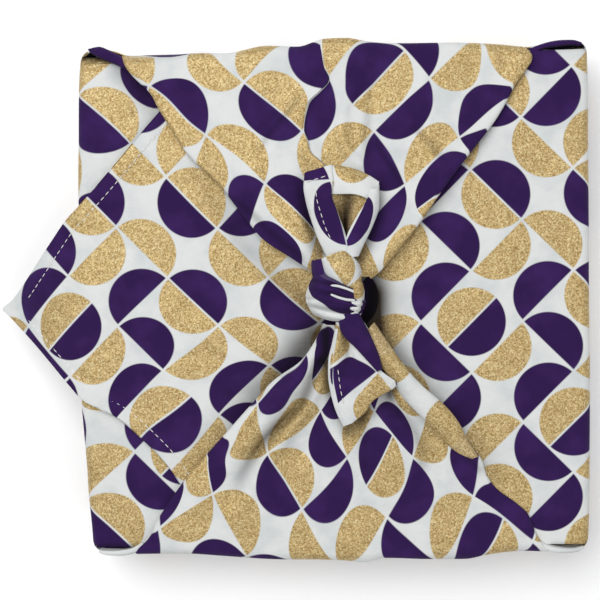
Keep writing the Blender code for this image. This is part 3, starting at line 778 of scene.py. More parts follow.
# %% [markdown]
# ## Loose layers
# The tails, the knot's strands and the deepest folds lie over the flaps as layers of their own. Each is
# drawn by a few rails: lines in space that run along it, from one side to the other, with its crest and the
# turned edge among them. The sheet passes smoothly through the rails. Three places with known cells fix its
# print, and a limit on the cells keeps a neighbouring print off the part where only the white ground shows.

# %% A layer from rails
def anchored(*pairs, low=(-99, -99), high=(99, 99)):
    """The cells of any place on the plan, from three places whose cells are known."""
    plan = np.array([[*place, 1.0] for place, cell in pairs])
    matrix = np.linalg.solve(plan, np.array([cell for place, cell in pairs]))

    def chart(x, y):
        cells = np.clip(np.stack([x, y, np.ones_like(x)], -1) @ matrix, low, high)
        return cells[..., 0], cells[..., 1]
    return chart


PLAIN_EDGE = 0.12                        # the share at either edge of a layer where its pleats fade out


def layer(name, rails, chart, along=34, across=6, pleats=(0, 0), ribs=(0, 0), flat_row=None, pulls=(),
          shades=()):
    """A smooth sheet through rails. Pleats run along it and ribs across, each a count and a height."""
    shares = np.linspace(0, 1, along)
    lines = np.stack([rail(points, shares) for points in rails])
    gaps = np.linalg.norm(np.diff(lines, axis=0), axis=2).mean(axis=1)
    spots = np.concatenate([[0], np.cumsum(gaps)])
    fine = np.interp(np.linspace(0, len(rails) - 1, across * (len(rails) - 1) + 1),
                     np.arange(len(rails)), spots)
    grid = np.stack([[smooth(fine, spots, lines[:, k, axis]) for axis in range(3)] for k in range(along)])
    grid = grid.transpose(2, 0, 1)
    part = (fine / spots[-1])[:, None]
    inner = ease(part, 0, PLAIN_EDGE) * (1 - ease(part, 1 - PLAIN_EDGE, 1))
    grid[..., 2] += inner * pleats[1] * np.cos(2 * math.pi * pleats[0] * part)
    middle = np.sin(math.pi * shares)[None, :] ** 0.5
    grid[..., 2] += inner * middle * ribs[1] * np.cos(2 * math.pi * ribs[0] * shares)[None, :]
    step = np.diff(grid, axis=0)
    longer = np.linalg.norm(step, axis=2) - np.linalg.norm(step[..., :2], axis=2)
    longer = np.concatenate([np.zeros((1, along)), np.cumsum(longer, axis=0)])
    longer -= longer[len(fine) // 2 if flat_row is None else flat_row * across]
    way = (grid[-1] - grid[0])[:, :2].mean(axis=0)
    way /= np.linalg.norm(way)
    flat = grid[..., :2] + longer[..., None] * way

    def place(row, column):
        row, column = row.astype(int), column.astype(int)
        x, y, z = grid[row, column].T
        u, v = chart(*pulled(pulls, *flat[row, column].T))
        return x, y, z, u, v
    return panel(name, np.arange(len(fine), dtype=float), np.arange(along, dtype=float), place, shades)


# %% [markdown]
# ## The lips of the pockets
# Where a tied flap leaves a corner of the box its edge twists over, and the wrapped corner below it opens in
# a small mouth. Each lip is a short rolled band between the wall and the flap.

# %% Lips
PURPLE = anchored(((0, 0), (0.5, 1.2)), ((30, 0), (0.75, 1.2)), ((0, -30), (0.5, 1.3)), low=(0.3, 1.1),
                  high=(0.7, 1.32))
GROUND = anchored(((0, 0), (0.5, 1.5)), ((30, 0), (0.6, 1.5)), ((0, -30), (0.5, 1.5)), low=(0.1, 1.5),
                  high=(0.9, 1.5))
layer("lip_upper_left", (
    ((-108.4, 111.6, 35), (-104.8, 111.8, 35.5), (-100.4, 111, 36), (-95.3, 110, 36), (-90, 108, 36)),
    ((-109.8, 113.2, 37.4), (-104.8, 114, 38.6), (-100.4, 112.4, 39.4), (-95.3, 109.8, 39.2),
     (-90.4, 106.6, 38.4)),
    ((-109.4, 113, 38.6), (-104.8, 112.9, 40.6), (-100.8, 111.2, 41.6), (-96, 108.6, 41),
     (-90.6, 105.4, 39.4)),
    ((-109, 112.4, 38.6), (-106.6, 111.2, 40.2), (-102, 109.2, 41.4), (-98.4, 107.6, 41.4),
     (-91.4, 104.2, 39.2)),
    ((-108.8, 112.2, 37.2), (-106.8, 110.8, 38.2), (-102.6, 108.6, 39.4), (-98.8, 107, 39.6),
     (-92, 103.8, 38.4)),
    ((-108.4, 112.2, 34), (-105.6, 111.6, 35), (-101.6, 110.2, 36.2), (-97, 108.6, 37.4), (-91, 105, 37.4)),
), PURPLE, along=26, flat_row=2)
layer("lip_upper_right", (
    ((84, 108.6, 35), (92, 110.6, 35), (100, 111.4, 35), (106, 111.6, 35), (109, 111.2, 34.5)),
    ((83.6, 108.6, 37.6), (91, 111.6, 38.4), (98, 113.2, 38.6), (105, 113.5, 38), (109.4, 112.4, 37.4)),
    ((84.6, 107.8, 39), (90.6, 110.8, 40.2), (98, 112.2, 40.4), (105, 112.6, 39.6), (109.2, 111.9, 38.4)),
    ((86.6, 107.2, 38.8), (91, 110, 39.8), (98, 111.2, 39.8), (105, 111.7, 39), (108.8, 111.5, 38.2)),
    ((86.4, 107, 37.6), (91.2, 109.8, 37), (98, 111.2, 35), (105, 111.7, 34), (108.6, 111.4, 34)),
), PURPLE, along=26, flat_row=2)
layer("lip_lower_left", (
    ((-108.6, -111.6, 35), (-105, -112, 35.2), (-99, -112, 35.6), (-94, -111.4, 35.8), (-90, -110, 36)),
    ((-109.4, -113, 37.2), (-105.6, -114, 38), (-99, -114.2, 38.8), (-94, -113.4, 38.8), (-90, -112, 38.6)),
    ((-109, -112.7, 38.2), (-105.4, -113.2, 39.4), (-99, -113, 40.4), (-94, -112.2, 40.4),
     (-88.6, -110, 39.6)),
    ((-108.6, -112.3, 37.8), (-105, -112.4, 39), (-99, -112, 40.2), (-94, -111, 40.4), (-89, -108.6, 39.4)),
    ((-108.4, -112.3, 34), (-105, -112.5, 34), (-99, -112.2, 35), (-94, -111.4, 37), (-89.4, -109.4, 37.4)),
), GROUND, along=26, flat_row=2)
layer("lip_lower_right", (
    ((91, -110.6, 35.5), (96, -112, 35), (102, -112.2, 34.5), (106, -112, 34), (109, -111.4, 33.5)),
    ((90, -111.6, 37.8), (96, -114, 38.8), (102, -114.4, 38.6), (106.4, -114, 37.8), (109.6, -112.4, 36.8)),
    ((88.4, -109.4, 39.6), (93.6, -112.6, 41), (100, -113.2, 40.6), (105.4, -113.2, 39.4),
     (109.2, -112.1, 37.8)),
    ((87, -107, 39.4), (91.8, -110.6, 40.6), (98, -112.2, 40.2), (104.4, -112.5, 39), (108.8, -111.8, 37.4)),
    ((88.4, -107, 38.4), (93, -110.4, 38.6), (98.6, -112, 36), (104.4, -112.5, 35), (108.6, -111.8, 34)),
), GROUND, along=26, flat_row=2)

# %% [markdown]
# ## The upper tail
# The tail is a corner of the cloth. Its two halves fold forward and leave a deep V between their lips.

# %% Upper tail
layer("upper_tail_left", (
    ((-10, 55, 46.2), (-10.8, 50, 46.6), (-10, 44.4, 47.2), (-8, 36.5, 48.4), (-5, 26.8, 50),
     (-1.5, 19, 52)),
    ((-13.4, 56.2, 47), (-13.9, 50.1, 47.6), (-13.1, 44.4, 48.2), (-11, 36.5, 49.6), (-7.6, 26.8, 51.4),
     (-3.8, 18.9, 53.6)),
    ((-8.4, 57.8, 48.4), (-8.8, 51, 50.6), (-8, 44.4, 52.2), (-6, 36.5, 53.4), (-3, 27, 54.6),
     (-0.2, 19.5, 55.2)),
    ((-2, 59.5, 48.8), (-1.8, 53, 51.4), (-3, 47.7, 53), (-0.3, 39, 54), (2.9, 29.8, 55), (4.4, 24.5, 55.6),
     (3, 19, 56)),
    ((-1.4, 59.2, 48), (-1, 53, 50.4), (-2, 47.4, 51.8), (0.6, 38.6, 52.6), (3.6, 30, 53.8),
     (4.8, 24.8, 54.8), (3.4, 19, 55.4)),
    ((-3.4, 58.2, 47.4), (-3.4, 52, 49.4), (-4.2, 47, 50.2), (-1.4, 38.6, 50.6), (2, 30, 52.2),
     (4.2, 25, 54), (3, 19, 55)),
), anchored(((-2.0, 52.1), (0.021, 1.0)), ((4.6, 24.5), (0.979, 1.0)), ((-9.4, 38.0), (0.5, 1.479)),
            low=(-9, 0.8), high=(0.995, 1.5)), flat_row=3)
layer("upper_tail_right", (
    ((3.6, 19, 54.4), (4.8, 25.4, 54), (5.6, 27.5, 53), (10.2, 36, 51.4), (15, 44, 50.4), (16, 48, 49.6)),
    ((4, 19, 55.4), (4.2, 25.2, 55.4), (4.6, 27.5, 54.8), (8.7, 36, 53.8), (13.8, 44.4, 52.8),
     (15.2, 48.6, 51)),
    ((6.6, 19.2, 55.6), (7, 24, 55.2), (8.4, 28, 54.7), (12.2, 35.4, 53.8), (16.2, 43, 52.4),
     (17.2, 49, 50.6)),
    ((9.4, 19.6, 53.6), (12.1, 25.3, 52.2), (14.4, 29.8, 51.2), (16.5, 34.4, 50.4), (18.8, 41.8, 49.2),
     (18.9, 50.6, 48.2)),
    ((7.6, 19.6, 52), (10, 25.3, 50.8), (12, 29.8, 49.8), (14, 34.4, 49), (16.2, 41.8, 47.8),
     (16.4, 49.6, 47)),
), anchored(((3.3, 24.5), (0.021, 1.0)), ((14.0, 45.3), (0.979, 1.0)), ((14.2, 32.0), (0.5, 1.479)),
            low=(0.005, 0.8), high=(0.995, 1.5)), flat_row=1)
layer("upper_tail_top", (
    ((-9, 53, 46), (-2, 55, 46.8), (7, 54, 47.2), (12, 52, 46.8), (16, 49, 46.4)),
    ((-13, 56, 46.9), (-8, 57.6, 47.4), (-2, 59.3, 47.9), (2.4, 58.9, 48.3), (7.2, 57.9, 48.5),
     (11.5, 56.2, 48.4), (15.4, 54.2, 48.2), (18.9, 51.8, 47.8)),
    ((-12, 53, 47.2), (-2, 55.3, 49.4), (4, 55, 50.5), (10, 53, 50.7), (15, 51, 50), (18.5, 48.5, 48.6)),
    ((-11, 48.5, 47.4), (-2, 50.4, 49.8), (4, 50, 51.4), (10, 49, 51.6), (15, 47, 51), (18.2, 44.6, 49.2)),
    ((-10, 45.6, 47.2), (-1.5, 47, 50.4), (4, 47, 51.7), (10, 46.4, 51.8), (13.6, 44.8, 51.2),
     (17.4, 41, 49.2)),
    ((-10, 46.6, 46.6), (-1.5, 47.8, 49.4), (4, 48, 50.6), (10, 47.4, 50.7), (13.6, 45.8, 50),
     (17.4, 42.4, 48.4)),
), anchored(((8.0, 60.3), (0.5, 2.0)), ((7.0, 51.3), (0.5, 1.521)), ((16.4, 60.0), (0.979, 2.0)),
            low=(0.005, 1.5), high=(0.995, 1.98)), flat_row=2)
# Painted shade darkens the bottom of the V inside the tail.
layer("upper_tail_inside", (
    ((-9, 47, 46.6), (-1, 47.8, 48.4), (4, 48, 49), (10, 47.4, 49.2), (16, 44.4, 48.2)),
    ((-8, 43.4, 46.8), (-0.8, 44.2, 48.6), (2.2, 44.4, 47.6), (8, 44, 48.8), (15.6, 40.8, 48.4)),
    ((-6.6, 39.6, 47.4), (0.2, 40.4, 48.4), (2.4, 40.8, 47), (7.4, 39.4, 48.6), (14.4, 36.8, 48.8)),
    ((-4, 33, 48.6), (1.6, 33.6, 49.4), (3.1, 33.7, 48.2), (5.4, 33, 49.6), (12.2, 31, 49.8)),
    ((-2, 26.4, 50.4), (3, 26.7, 51.4), (3.8, 26.8, 50.8), (4.8, 26.7, 51.6), (9.4, 26, 51.2)),
    ((0, 19.6, 52.6), (3, 19.8, 53.2), (3.8, 19.9, 53), (5, 19.8, 53.2), (7.4, 19.6, 52.6)),
), anchored(((3.0, 46.0), (0.5, 1.62)), ((3.0, 22.0), (0.5, 1.9)), ((12.0, 40.0), (0.62, 1.7))), flat_row=2,
      shades=(Crease(3.0, 5.0, ((7.0, 52.0, 0.4), (6.0, 45.0, 0.7), (4.6, 38.0, 0.85), (3.8, 26.0, 0.9))),))

# %% [markdown]
# ## The lower tail
# The other corner lies flatter: one triangular sheet with a shallow valley, and a rounded strip over its
# right side that comes straight out of the knot.

# %% Lower tail
LOWER_TAIL_PRINT = anchored(((17.1, -31.4), (0.021, 1.0)), ((5.5, -41.4), (0.5, 1.0)),
                            ((-4.5, -29.8), (0.5, 1.479)))


def lower_tail_cells(x, y):
    u, v = LOWER_TAIL_PRINT(x, y)
    return np.where(v < 1, np.minimum(u, 0.5), u), v


# Painted shade darkens the tail beside the strip that lies over it.
layer("lower_tail", (
    ((1, -10, 51), (0.4, -23.7, 48), (-0.6, -32.5, 47), (0.4, -41.3, 46.4), (2.4, -48.9, 46.2),
     (4, -54, 46.2)),
    ((-0.4, -9, 52.6), (-1.1, -13.2, 51.8), (-3.4, -23.7, 49.6), (-4, -32.5, 48.4), (-2.8, -41.3, 47.6),
     (-0.7, -48.9, 47.2), (2.3, -55.5, 46.8)),
    ((0.4, -9, 54), (0.8, -13, 53.4), (-1.2, -23.7, 51.2), (-1.6, -32.5, 50.2), (-0.4, -41, 49.2),
     (1.2, -48.6, 48.4), (3, -55.2, 47.4)),
    ((1.2, -9, 53.6), (2.4, -13, 52.6), (3.6, -20, 49.6), (3.4, -27.5, 48.8), (2.2, -36, 49.6),
     (3.2, -46, 48.7), (4.2, -54.8, 47.4)),
    ((2.6, -9, 54.4), (4, -13, 53.6), (7.4, -21, 51.6), (10, -29, 51.4), (9.6, -38, 50.8), (8, -46, 49.2),
     (5, -54.4, 47.4)),
    ((4.6, -9, 53), (8, -16, 52), (13, -24, 51.4), (19.6, -31.6, 50.8), (24.8, -35.6, 49.8),
     (25.8, -36.6, 49.4), (24.6, -38.2, 49.2), (20, -41, 48.8), (14.7, -44.6, 48.2), (11.6, -49.4, 47.6),
     (5.9, -53.8, 46.9)),
    ((4.6, -11, 51), (12, -26, 49.6), (20, -35.6, 48.4), (12.6, -43.6, 47), (5.6, -52, 46)),
), lower_tail_cells, along=44, flat_row=4,
    pulls=(Pull(1, -19, -8, 1, 6.5), Pull(3, -24, 0, -2.6, 5), Pull(11, -48, 8, 4, 9)),
    shades=(Crease(1.0, 2.0, ((2.6, -11, 0.7), (3.8, -17, 0.6), (4.2, -24, 0.4), (3.0, -32, 0.2))),))
layer("lower_tail_hem", (
    ((-0.6, -12, 51.2), (-1.6, -18, 49.8), (-3.2, -23.7, 48.4), (-3.8, -32.5, 47.4), (-2.6, -41.3, 46.8),
     (-0.6, -48.9, 46.4), (2.3, -55.5, 46.2)),
    ((-0.8, -12, 52.4), (-2.2, -18.4, 51.1), (-3.6, -23.7, 49.8), (-4.2, -32.5, 48.6), (-3, -41.3, 47.8),
     (-0.9, -48.9, 47.4), (2.2, -55.6, 46.9)),
    ((-0.2, -12, 53.2), (-1.4, -18.2, 52.1), (-2.4, -23.7, 50.7), (-2.9, -32.5, 49.6), (-1.8, -41.2, 48.7),
     (0.1, -48.8, 48.1), (2.8, -55.4, 47.4)),
    ((0.4, -12, 53.5), (-0.7, -18.1, 52.6), (-1.6, -23.7, 51.2), (-2, -32.5, 50.2), (-0.9, -41, 49.2),
     (0.8, -48.6, 48.5), (3, -55.3, 47.5)),
), GROUND, along=34, flat_row=2)
layer("lower_tail_strip", (
    ((2, -5, 52.4), (3.6, -13.6, 52.6), (10, -22, 51.8), (17.6, -31.2, 51.2)),
    ((0.6, -5, 53.6), (1.6, -12.7, 54.2), (9.2, -21.6, 53.2), (17.4, -31, 52.2)),
    ((4.2, -5, 56), (6, -11.6, 56.4), (11.8, -19, 55), (18, -30.4, 52.9)),
    ((9.4, -5.6, 54), (12.1, -10.7, 53.2), (15.6, -18, 52), (18.5, -26.1, 51.2), (19.2, -30.4, 51.2)),
    ((7.4, -6, 51), (10, -11.6, 50.6), (13.4, -18.6, 50), (16.6, -26.1, 50), (18, -30.4, 50.4)),
), PURPLE, flat_row=2)

# %% [markdown]
# ## The knot
# A square knot shows two strands from above: one comes down from the upper tail and tucks in, the other
# wraps round it, crossed by the small pleats of the bunched cloth. Short loops of the same cloth close the
# sides.

# %% Knot
layer("knot_upper_strand", (
    ((-6.6, 18, 51.6), (-4.6, 11.6, 53.4), (1.6, 7, 54.4), (5, 4.6, 53.4)),
    ((-6, 18.8, 54.2), (-3.7, 12, 56.6), (2.6, 7.8, 57.6), (6.2, 5.4, 56)),
    ((-1.2, 20.8, 56.6), (0.6, 15, 59.2), (4.8, 10.4, 59.2), (8, 6.8, 57)),
    ((3.4, 22, 56), (7.2, 18.1, 56.9), (9.2, 12.8, 56.6), (9.8, 7.6, 54.8)),
    ((4.4, 21, 53.2), (8.6, 17.6, 53.2), (10.6, 12.2, 52.8), (10.4, 7, 52)),
), anchored(((-5.4, 20.4), (0.02, 1.987)), ((3.6, 6.6), (0.979, 1.987)), ((8.4, 11.6), (0.9, 1.66)),
            low=(0.02, 1.5), high=(2, 2.0)), flat_row=2)
# Painted shade darkens the grooves between this strand's pleats.
layer("knot_lower_strand", (
    ((-8, 13, 50.4), (-5.8, 13.2, 53), (0, 11.2, 55.4), (6, 7.4, 55.2), (10.4, 4, 51.6)),
    ((-10.4, 10.4, 50), (-7.6, 10.8, 54.2), (-1.6, 9.4, 57.4), (4.6, 6.2, 57.6), (10.2, 2.6, 53.4),
     (11.6, 1.8, 49.6)),
    ((-12.4, 6.6, 49.6), (-9.8, 7, 54.6), (-3.2, 6, 58.2), (3.2, 3.8, 58.8), (9.2, 1, 55.6),
     (12.2, -0.6, 50.6)),
    ((-13.6, 1.6, 48.8), (-10.8, 1.8, 54), (-5.2, 0.6, 57.6), (1.8, -1.2, 58.2), (7.8, -2.8, 55.6),
     (11.4, -3.6, 51)),
    ((-12.4, -2.4, 48.4), (-9.8, -3, 52.4), (-5.6, -4.2, 55.6), (0, -5.4, 56.6), (5.4, -6.2, 55),
     (9.6, -6.8, 51)),
    ((-9.8, -6, 47.8), (-7.2, -7, 50.8), (-4, -8, 53), (1, -8.6, 54), (5.6, -8.4, 52.8), (8.6, -7.8, 50.2)),
    ((-8, -5, 46.6), (-6, -6, 48.4), (-3, -6.6, 50.4), (1, -7, 51), (5, -6.8, 50.4), (8, -6.6, 48.8)),
), anchored(((5.6, 6.6), (0.5, 1.0)), ((-2.9, -3.6), (0.5, 1.479)), ((-4.8, 15.2), (0.021, 1.0)),
            low=(0.02, 1.02), high=(0.98, 1.5)), pleats=(6.5, 0.55), across=12, flat_row=3,
    pulls=(Pull(-9, 9, 5.0, 1.0, 7), Pull(-10, 2, 1.6, -1.0, 5)),
    shades=(Crease(1.2, 1.2, ((-9, 9, 0.2), (-2, 7.6, 0.5), (6, 5, 0.6))),
            Crease(1.0, 1.0, ((-8, 4, 0.1), (-1, 3.2, 0.5), (8, -0.4, 0.5))),
            Crease(1.2, 1.2, ((-9, -1.4, 0.2), (-3, -2.6, 0.4), (8, -4.6, 0.5)))))
layer("knot_right_loop", (
    ((6.2, 8.4, 54.4), (6.4, 4, 54.8), (5.6, -1, 54.6), (4.6, -7, 52.4)),
    ((7.2, 9, 57), (7.6, 4.2, 57.2), (6.6, -0.6, 57), (5.6, -7.4, 54.8)),
    ((9.6, 8.8, 56.2), (10.2, 4.2, 56.2), (9.4, -1, 56), (7.2, -8, 54)),
    ((11, 8, 51), (11.8, 3.8, 50.6), (11.2, -1.6, 50.6), (8.4, -8, 50)),
), anchored(((8.0, 9.0), (0.5, 1.8)), ((8.3, 1.0), (0.5, 1.515)), ((12.6, 9.0), (0.7, 1.8)), low=(0.3, 1.5)),
    ribs=(7, 0.5), along=60, flat_row=1)
for name, line in (
    ("knot_pleat_upper", ((-4.6, 6.4, 57.4), (-1.0, 7.0, 58.6), (3.2, 6.0, 59.2), (7.2, 4.4, 58.2))),
    ("knot_pleat_lower", ((-2.6, 3.2, 58.4), (1.0, 1.8, 59.4), (4.4, 0.9, 59.2), (7.6, 0.6, 57.8))),
):
    layer(name, tuple(tuple((x, y + off, z - down) for x, y, z in line)
                      for off, down in ((-0.45, 1.4), (-0.2, 0.3), (0.1, 0.3), (0.4, 1.4))), GROUND, along=20)
layer("knot_left_loop", (
    ((-11, 18, 47), (-10.8, 13, 48.4), (-10, 8.6, 49.6)),
    ((-9.6, 18, 50.4), (-9.2, 13.2, 51.8), (-8.4, 9.2, 53)),
    ((-6.6, 18.6, 52.8), (-5.8, 14, 54), (-5.4, 10.4, 54.4)),
    ((-4.6, 18, 51.4), (-4, 13.8, 52.6), (-3.8, 10.6, 53.4)),
), PURPLE)

# %% [markdown]
# ## The folded strip
# Beside the knot the lower flap's right side is folded back over itself in a rounded strip. It is made in two
# lengths that meet in the white of the print.

# %% Folded strip
STRIP_RAILS = (
    ((12, -12, 50), (18, -27, 47.4), (23.6, -35.4, 46), (31.3, -46.5, 44.8), (36, -51, 44.2),
     (44, -60, 43.4), (52, -67.6, 42.8), (58, -70, 42.4)),
    ((13, -12.6, 51.6), (18.8, -28.7, 48.8), (25.3, -36.5, 47.6), (33.1, -47.7, 46.2), (37.1, -51.9, 45.6),
     (45.6, -60.7, 44.8), (53.4, -68.5, 43.8), (59, -71, 43)),
    ((14.5, -11, 54), (22, -26.4, 51.2), (28.6, -34.2, 49.8), (36.4, -43.6, 48.4), (41.6, -48.8, 47.6),
     (49.6, -57.6, 46.4), (55.6, -65, 45.2), (60.4, -70.4, 43.8)),
    ((16, -9.6, 51), (26, -24.6, 49), (32.2, -32.9, 47.8), (39.4, -40.4, 46.6), (45.7, -45.9, 45.6),
     (53.6, -55.8, 44.4), (56.8, -62.4, 43.6), (62, -70.4, 42.6)),
    ((14.6, -11, 49), (23.4, -26.4, 46.8), (29.6, -34.6, 45.6), (37, -42.4, 44.6), (43, -47.8, 43.8),
     (51, -57.4, 42.8), (54.8, -64, 42.2), (60, -69.6, 41.8)),
)
STRIP_MEETING = 0.42


def cut_rails(rails, start, end, points):
    return tuple(tuple(map(tuple, rail(line, np.linspace(start, end, points)))) for line in rails)


layer("folded_strip_top", cut_rails(STRIP_RAILS, 0, STRIP_MEETING, 7),
      anchored(((20.0, -24.0), (0.5, 2.0)), ((27.4, -35.6), (0.5, 1.521)), ((33.0, -16.0), (0.979, 2.0)),
               low=(0.02, 1.5), high=(0.98, 1.98)), flat_row=2)
layer("folded_strip_end", cut_rails(STRIP_RAILS, STRIP_MEETING, 1, 9),
      anchored(((41.2, -47.0), (0.5, 1.521)), ((53.0, -61.0), (0.5, 1.98)), ((43.0, -72.0), (0.979, 1.98)),
               low=(0.02, 1.5), high=(0.98, 1.98)), flat_row=2)

# %% [markdown]
# ## One cloth
# The panels overlap as the layers of the real cloth do, and are joined into one object. Solidify then gives
# the sheet its thickness, half on each side of the middle surface that the panels drew.

# %% Joining and thickening
SHARP_FROM = 50                          # an edge turned more than this many degrees is shaded sharp


def finished(made, name):
    """Applies a piece's modifiers and shades it smooth."""
    graph = bpy.context.evaluated_depsgraph_get()
    mesh = bpy.data.meshes.new_from_object(made.evaluated_get(graph))
    made.modifiers.clear()
    made.data = mesh
    made.name = mesh.name = name
    mesh.shade_smooth()
    mesh.set_sharp_from_angle(angle=math.radians(SHARP_FROM))
    print(f"{name}: {len(mesh.polygons)} faces")


with bpy.context.temp_override(active_object=panels[0], selected_editable_objects=panels):
    bpy.ops.object.join()
cloth = panels[0]
thicken = cloth.modifiers.new("thickness", "SOLIDIFY")
thicken.thickness = SHEET * MM
thicken.offset = 0
finished(cloth, "furoshiki_cloth")

# %% [markdown]
# ## Hem stitches
# The hems are machine sewn. Each stitch is a short capsule of thread that sinks into the cloth at its ends,
# on a line a little inside the edge.

# %% Hem stitches
STITCH, STITCH_GAP, THREAD_RADIUS = 2.6, 0.6, 0.2
LOOSE_SEAM, SEAM_POINTS, THREAD_POINTS = (174, 258), 60, 400


def stitch_line(bm, points):
    """A row of stitches along a smooth line through points."""
    line = rail(points, np.linspace(0, 1, THREAD_POINTS))
    length = np.concatenate([[0], np.cumsum(np.linalg.norm(np.diff(line, axis=0), axis=1))])
    for start in np.arange(0, length[-1] - STITCH, STITCH + STITCH_GAP):
        ends = np.stack([np.interp((start, start + STITCH), length, line[:, k]) for k in range(3)], -1)
        middle, along = Vector(ends.mean(axis=0)), Vector(ends[1] - ends[0])
        made = bmesh.ops.create_icosphere(bm, subdivisions=1, radius=1.0)["verts"]
        stretch = Matrix.Diagonal((THREAD_RADIUS, THREAD_RADIUS, STITCH / 2, 1))
        turn = along.to_track_quat("Z", "Y").to_matrix().to_4x4()
        place = Matrix.Scale(MM, 4) @ Matrix.Translation(middle) @ turn @ stretch
        bmesh.ops.transform(bm, matrix=place, verts=made)


def loose_height(x, y):
    """The top of the right flap's cloth on a stitch line."""
    inward = HALF - x
    flat = crease_height(RIGHT_CREASES, x, y) + unevenness(x, y, *FLAT_WAVES)
    return RIGHT_LEVEL + flat + table(LOOSE_CORNER, "height", inward) + hem_step(STITCH_INSET) + SHEET / 2


bm = bmesh.new()
for end, inside in (("low", 1), ("high", -1)):
    inward = np.linspace(*LOOSE_SEAM, SEAM_POINTS)
    y = table(RIGHT_SIDES, end, inward)
    slope = np.gradient(y, inward)
    size = np.hypot(1, slope)
    x = HALF - inward + inside * STITCH_INSET * slope / size
    y = y + inside * STITCH_INSET / size
    stitch_line(bm, np.stack([x, y, loose_height(x, y)], -1))
TAIL_SEAMS = (
    ((-12.8, 52.4, 49.6), (-8.6, 53.4, 50.4), (-4.0, 54.8, 51.0), (-1.8, 55.4, 51.0)),
    ((-8.7, 51.0, 51.0), (-8.4, 45.0, 52.5), (-6.6, 38.5, 53.5), (-4.6, 32.0, 54.4), (-2.2, 26.8, 55.0)),
    ((0.0, -30.0, 50.9), (0.9, -38.0, 50.3), (2.4, -46.0, 49.4)),
)
for line in TAIL_SEAMS:
    stitch_line(bm, line)
mesh = bpy.data.meshes.new("hem_stitches")
bm.to_mesh(mesh)
bm.free()
mesh.shade_smooth()
stitches = bpy.data.objects.new("hem_stitches", mesh)
bpy.context.scene.collection.objects.link(stitches)
print("hem_stitches:", len(mesh.polygons), "faces")

# %% [markdown]
# ## Colours and nodes
# Colours are written as they look on a screen, in sRGB, and one function turns them to the linear values that
# a shader needs. One more function adds a node, sets it and links its inputs.

# %% Node helper
def colour(text):
    parts = [int(text[i:i + 2], 16) / 255 for i in (1, 3, 5)]
    return (*[p / 12.92 if p <= 0.04045 else ((p + 0.055) / 1.055) ** 2.4 for p in parts], 1.0)


def new_material(name):
    material = bpy.data.materials.new(name)
    material.use_nodes = True
    return material, material.node_tree, material.node_tree.nodes["Principled BSDF"]


def add(tree, kind, *inputs, output=None, **settings):
    """Adds a node with its settings, fills or links its inputs in order, and gives back its output."""
    made = tree.nodes.new("ShaderNode" + kind)
    for name, value in settings.items():
        setattr(made, name, value)
    for socket, value in zip([s for s in made.inputs if s.enabled], inputs):
        if isinstance(value, bpy.types.NodeSocket):
            tree.links.new(value, socket)
        elif value is not None:
            socket.default_value = value
    return made.outputs[output] if output else next(s for s in made.outputs if s.enabled)


# %% [markdown]
# ## The printed cotton
# Real furoshiki cotton is a plain weave, screen printed. The ground is bleached white, slightly cool; the
# purple sinks in and stays matt; the gold is a glitter paste that catches the light grain by grain. The
# print is a repeat of half discs. Each cell of the cloth holds two, and which way they face and which one is
# purple is worked out from the cell's number. The thin white line between two half discs is the gap that a
# printer leaves between two colours.

# %% Printed cotton: where the ink lies
DISC_RADIUS, KEYLINE = 0.479, 0.013      # in cells
INK_EDGE = 0.008                         # how soft the edge of the ink is, in cells
CELLS_BEFORE = 40.0                      # whole cells added, so that no cell has a number below zero

cotton, tree, surface = new_material("printed_cotton")
flat_place = add(tree, "UVMap", uv_map="cloth")
axes = add(tree, "SeparateXYZ", flat_place).node
u = add(tree, "Math", axes.outputs["X"], CELLS_BEFORE, operation="ADD")
v = add(tree, "Math", axes.outputs["Y"], CELLS_BEFORE, operation="ADD")
column = add(tree, "Math", u, operation="FLOOR")
row = add(tree, "Math", v, operation="FLOOR")
a = add(tree, "Math", u, operation="FRACT")
b = add(tree, "Math", v, operation="FRACT")
column_kind = add(tree, "Math", column, 2.0, operation="FLOORED_MODULO")
row_kind = add(tree, "Math", row, 4.0, operation="FLOORED_MODULO")
cell_kind = add(tree, "Math", column_kind, 4.0, row_kind, operation="MULTIPLY_ADD")
fifth = add(tree, "Math", cell_kind, 5.0, operation="FLOORED_MODULO")
turned_cell = add(tree, "Math", fifth, 1.5, 0.6, operation="COMPARE")
across_disc = add(tree, "Mix", turned_cell, a, b)
along_disc = add(tree, "Mix", turned_cell, b, a)
shifted_cell = add(tree, "Math", cell_kind, 4.0, 0.5, operation="COMPARE")
across_disc = add(tree, "Math", shifted_cell, 0.5, across_disc, operation="MULTIPLY_ADD")
across_disc = add(tree, "Math", across_disc, operation="FRACT")
purple_first = add(tree, "Math", cell_kind, 2.5, 1.6, operation="COMPARE")
first_half = add(tree, "Math", across_disc, 0.5, operation="LESS_THAN")
other_way = add(tree, "Math", 1.0, across_disc, operation="SUBTRACT")
from_middle = add(tree, "Math", across_disc, other_way, operation="MINIMUM")
off_centre = add(tree, "Math", along_disc, 0.5, operation="SUBTRACT")
off_centre = add(tree, "CombineXYZ", from_middle, off_centre, 0.0)
reach = add(tree, "VectorMath", off_centre, operation="LENGTH", output="Value")
in_disc = add(tree, "MapRange", reach, DISC_RADIUS + INK_EDGE, DISC_RADIUS - INK_EDGE)
off_line = add(tree, "MapRange", from_middle, KEYLINE - INK_EDGE, KEYLINE + INK_EDGE)
ink = add(tree, "Math", in_disc, off_line, operation="MULTIPLY")
is_purple = add(tree, "Math", first_half, purple_first, 0.5, operation="COMPARE")
is_gold = add(tree, "Math", 1.0, is_purple, operation="SUBTRACT")
gold_ink = add(tree, "Math", ink, is_gold, operation="MULTIPLY")
print("half discs", round(2 * DISC_RADIUS * CELL, 1), "mm wide,", round(2 * KEYLINE * CELL, 1), "mm apart")
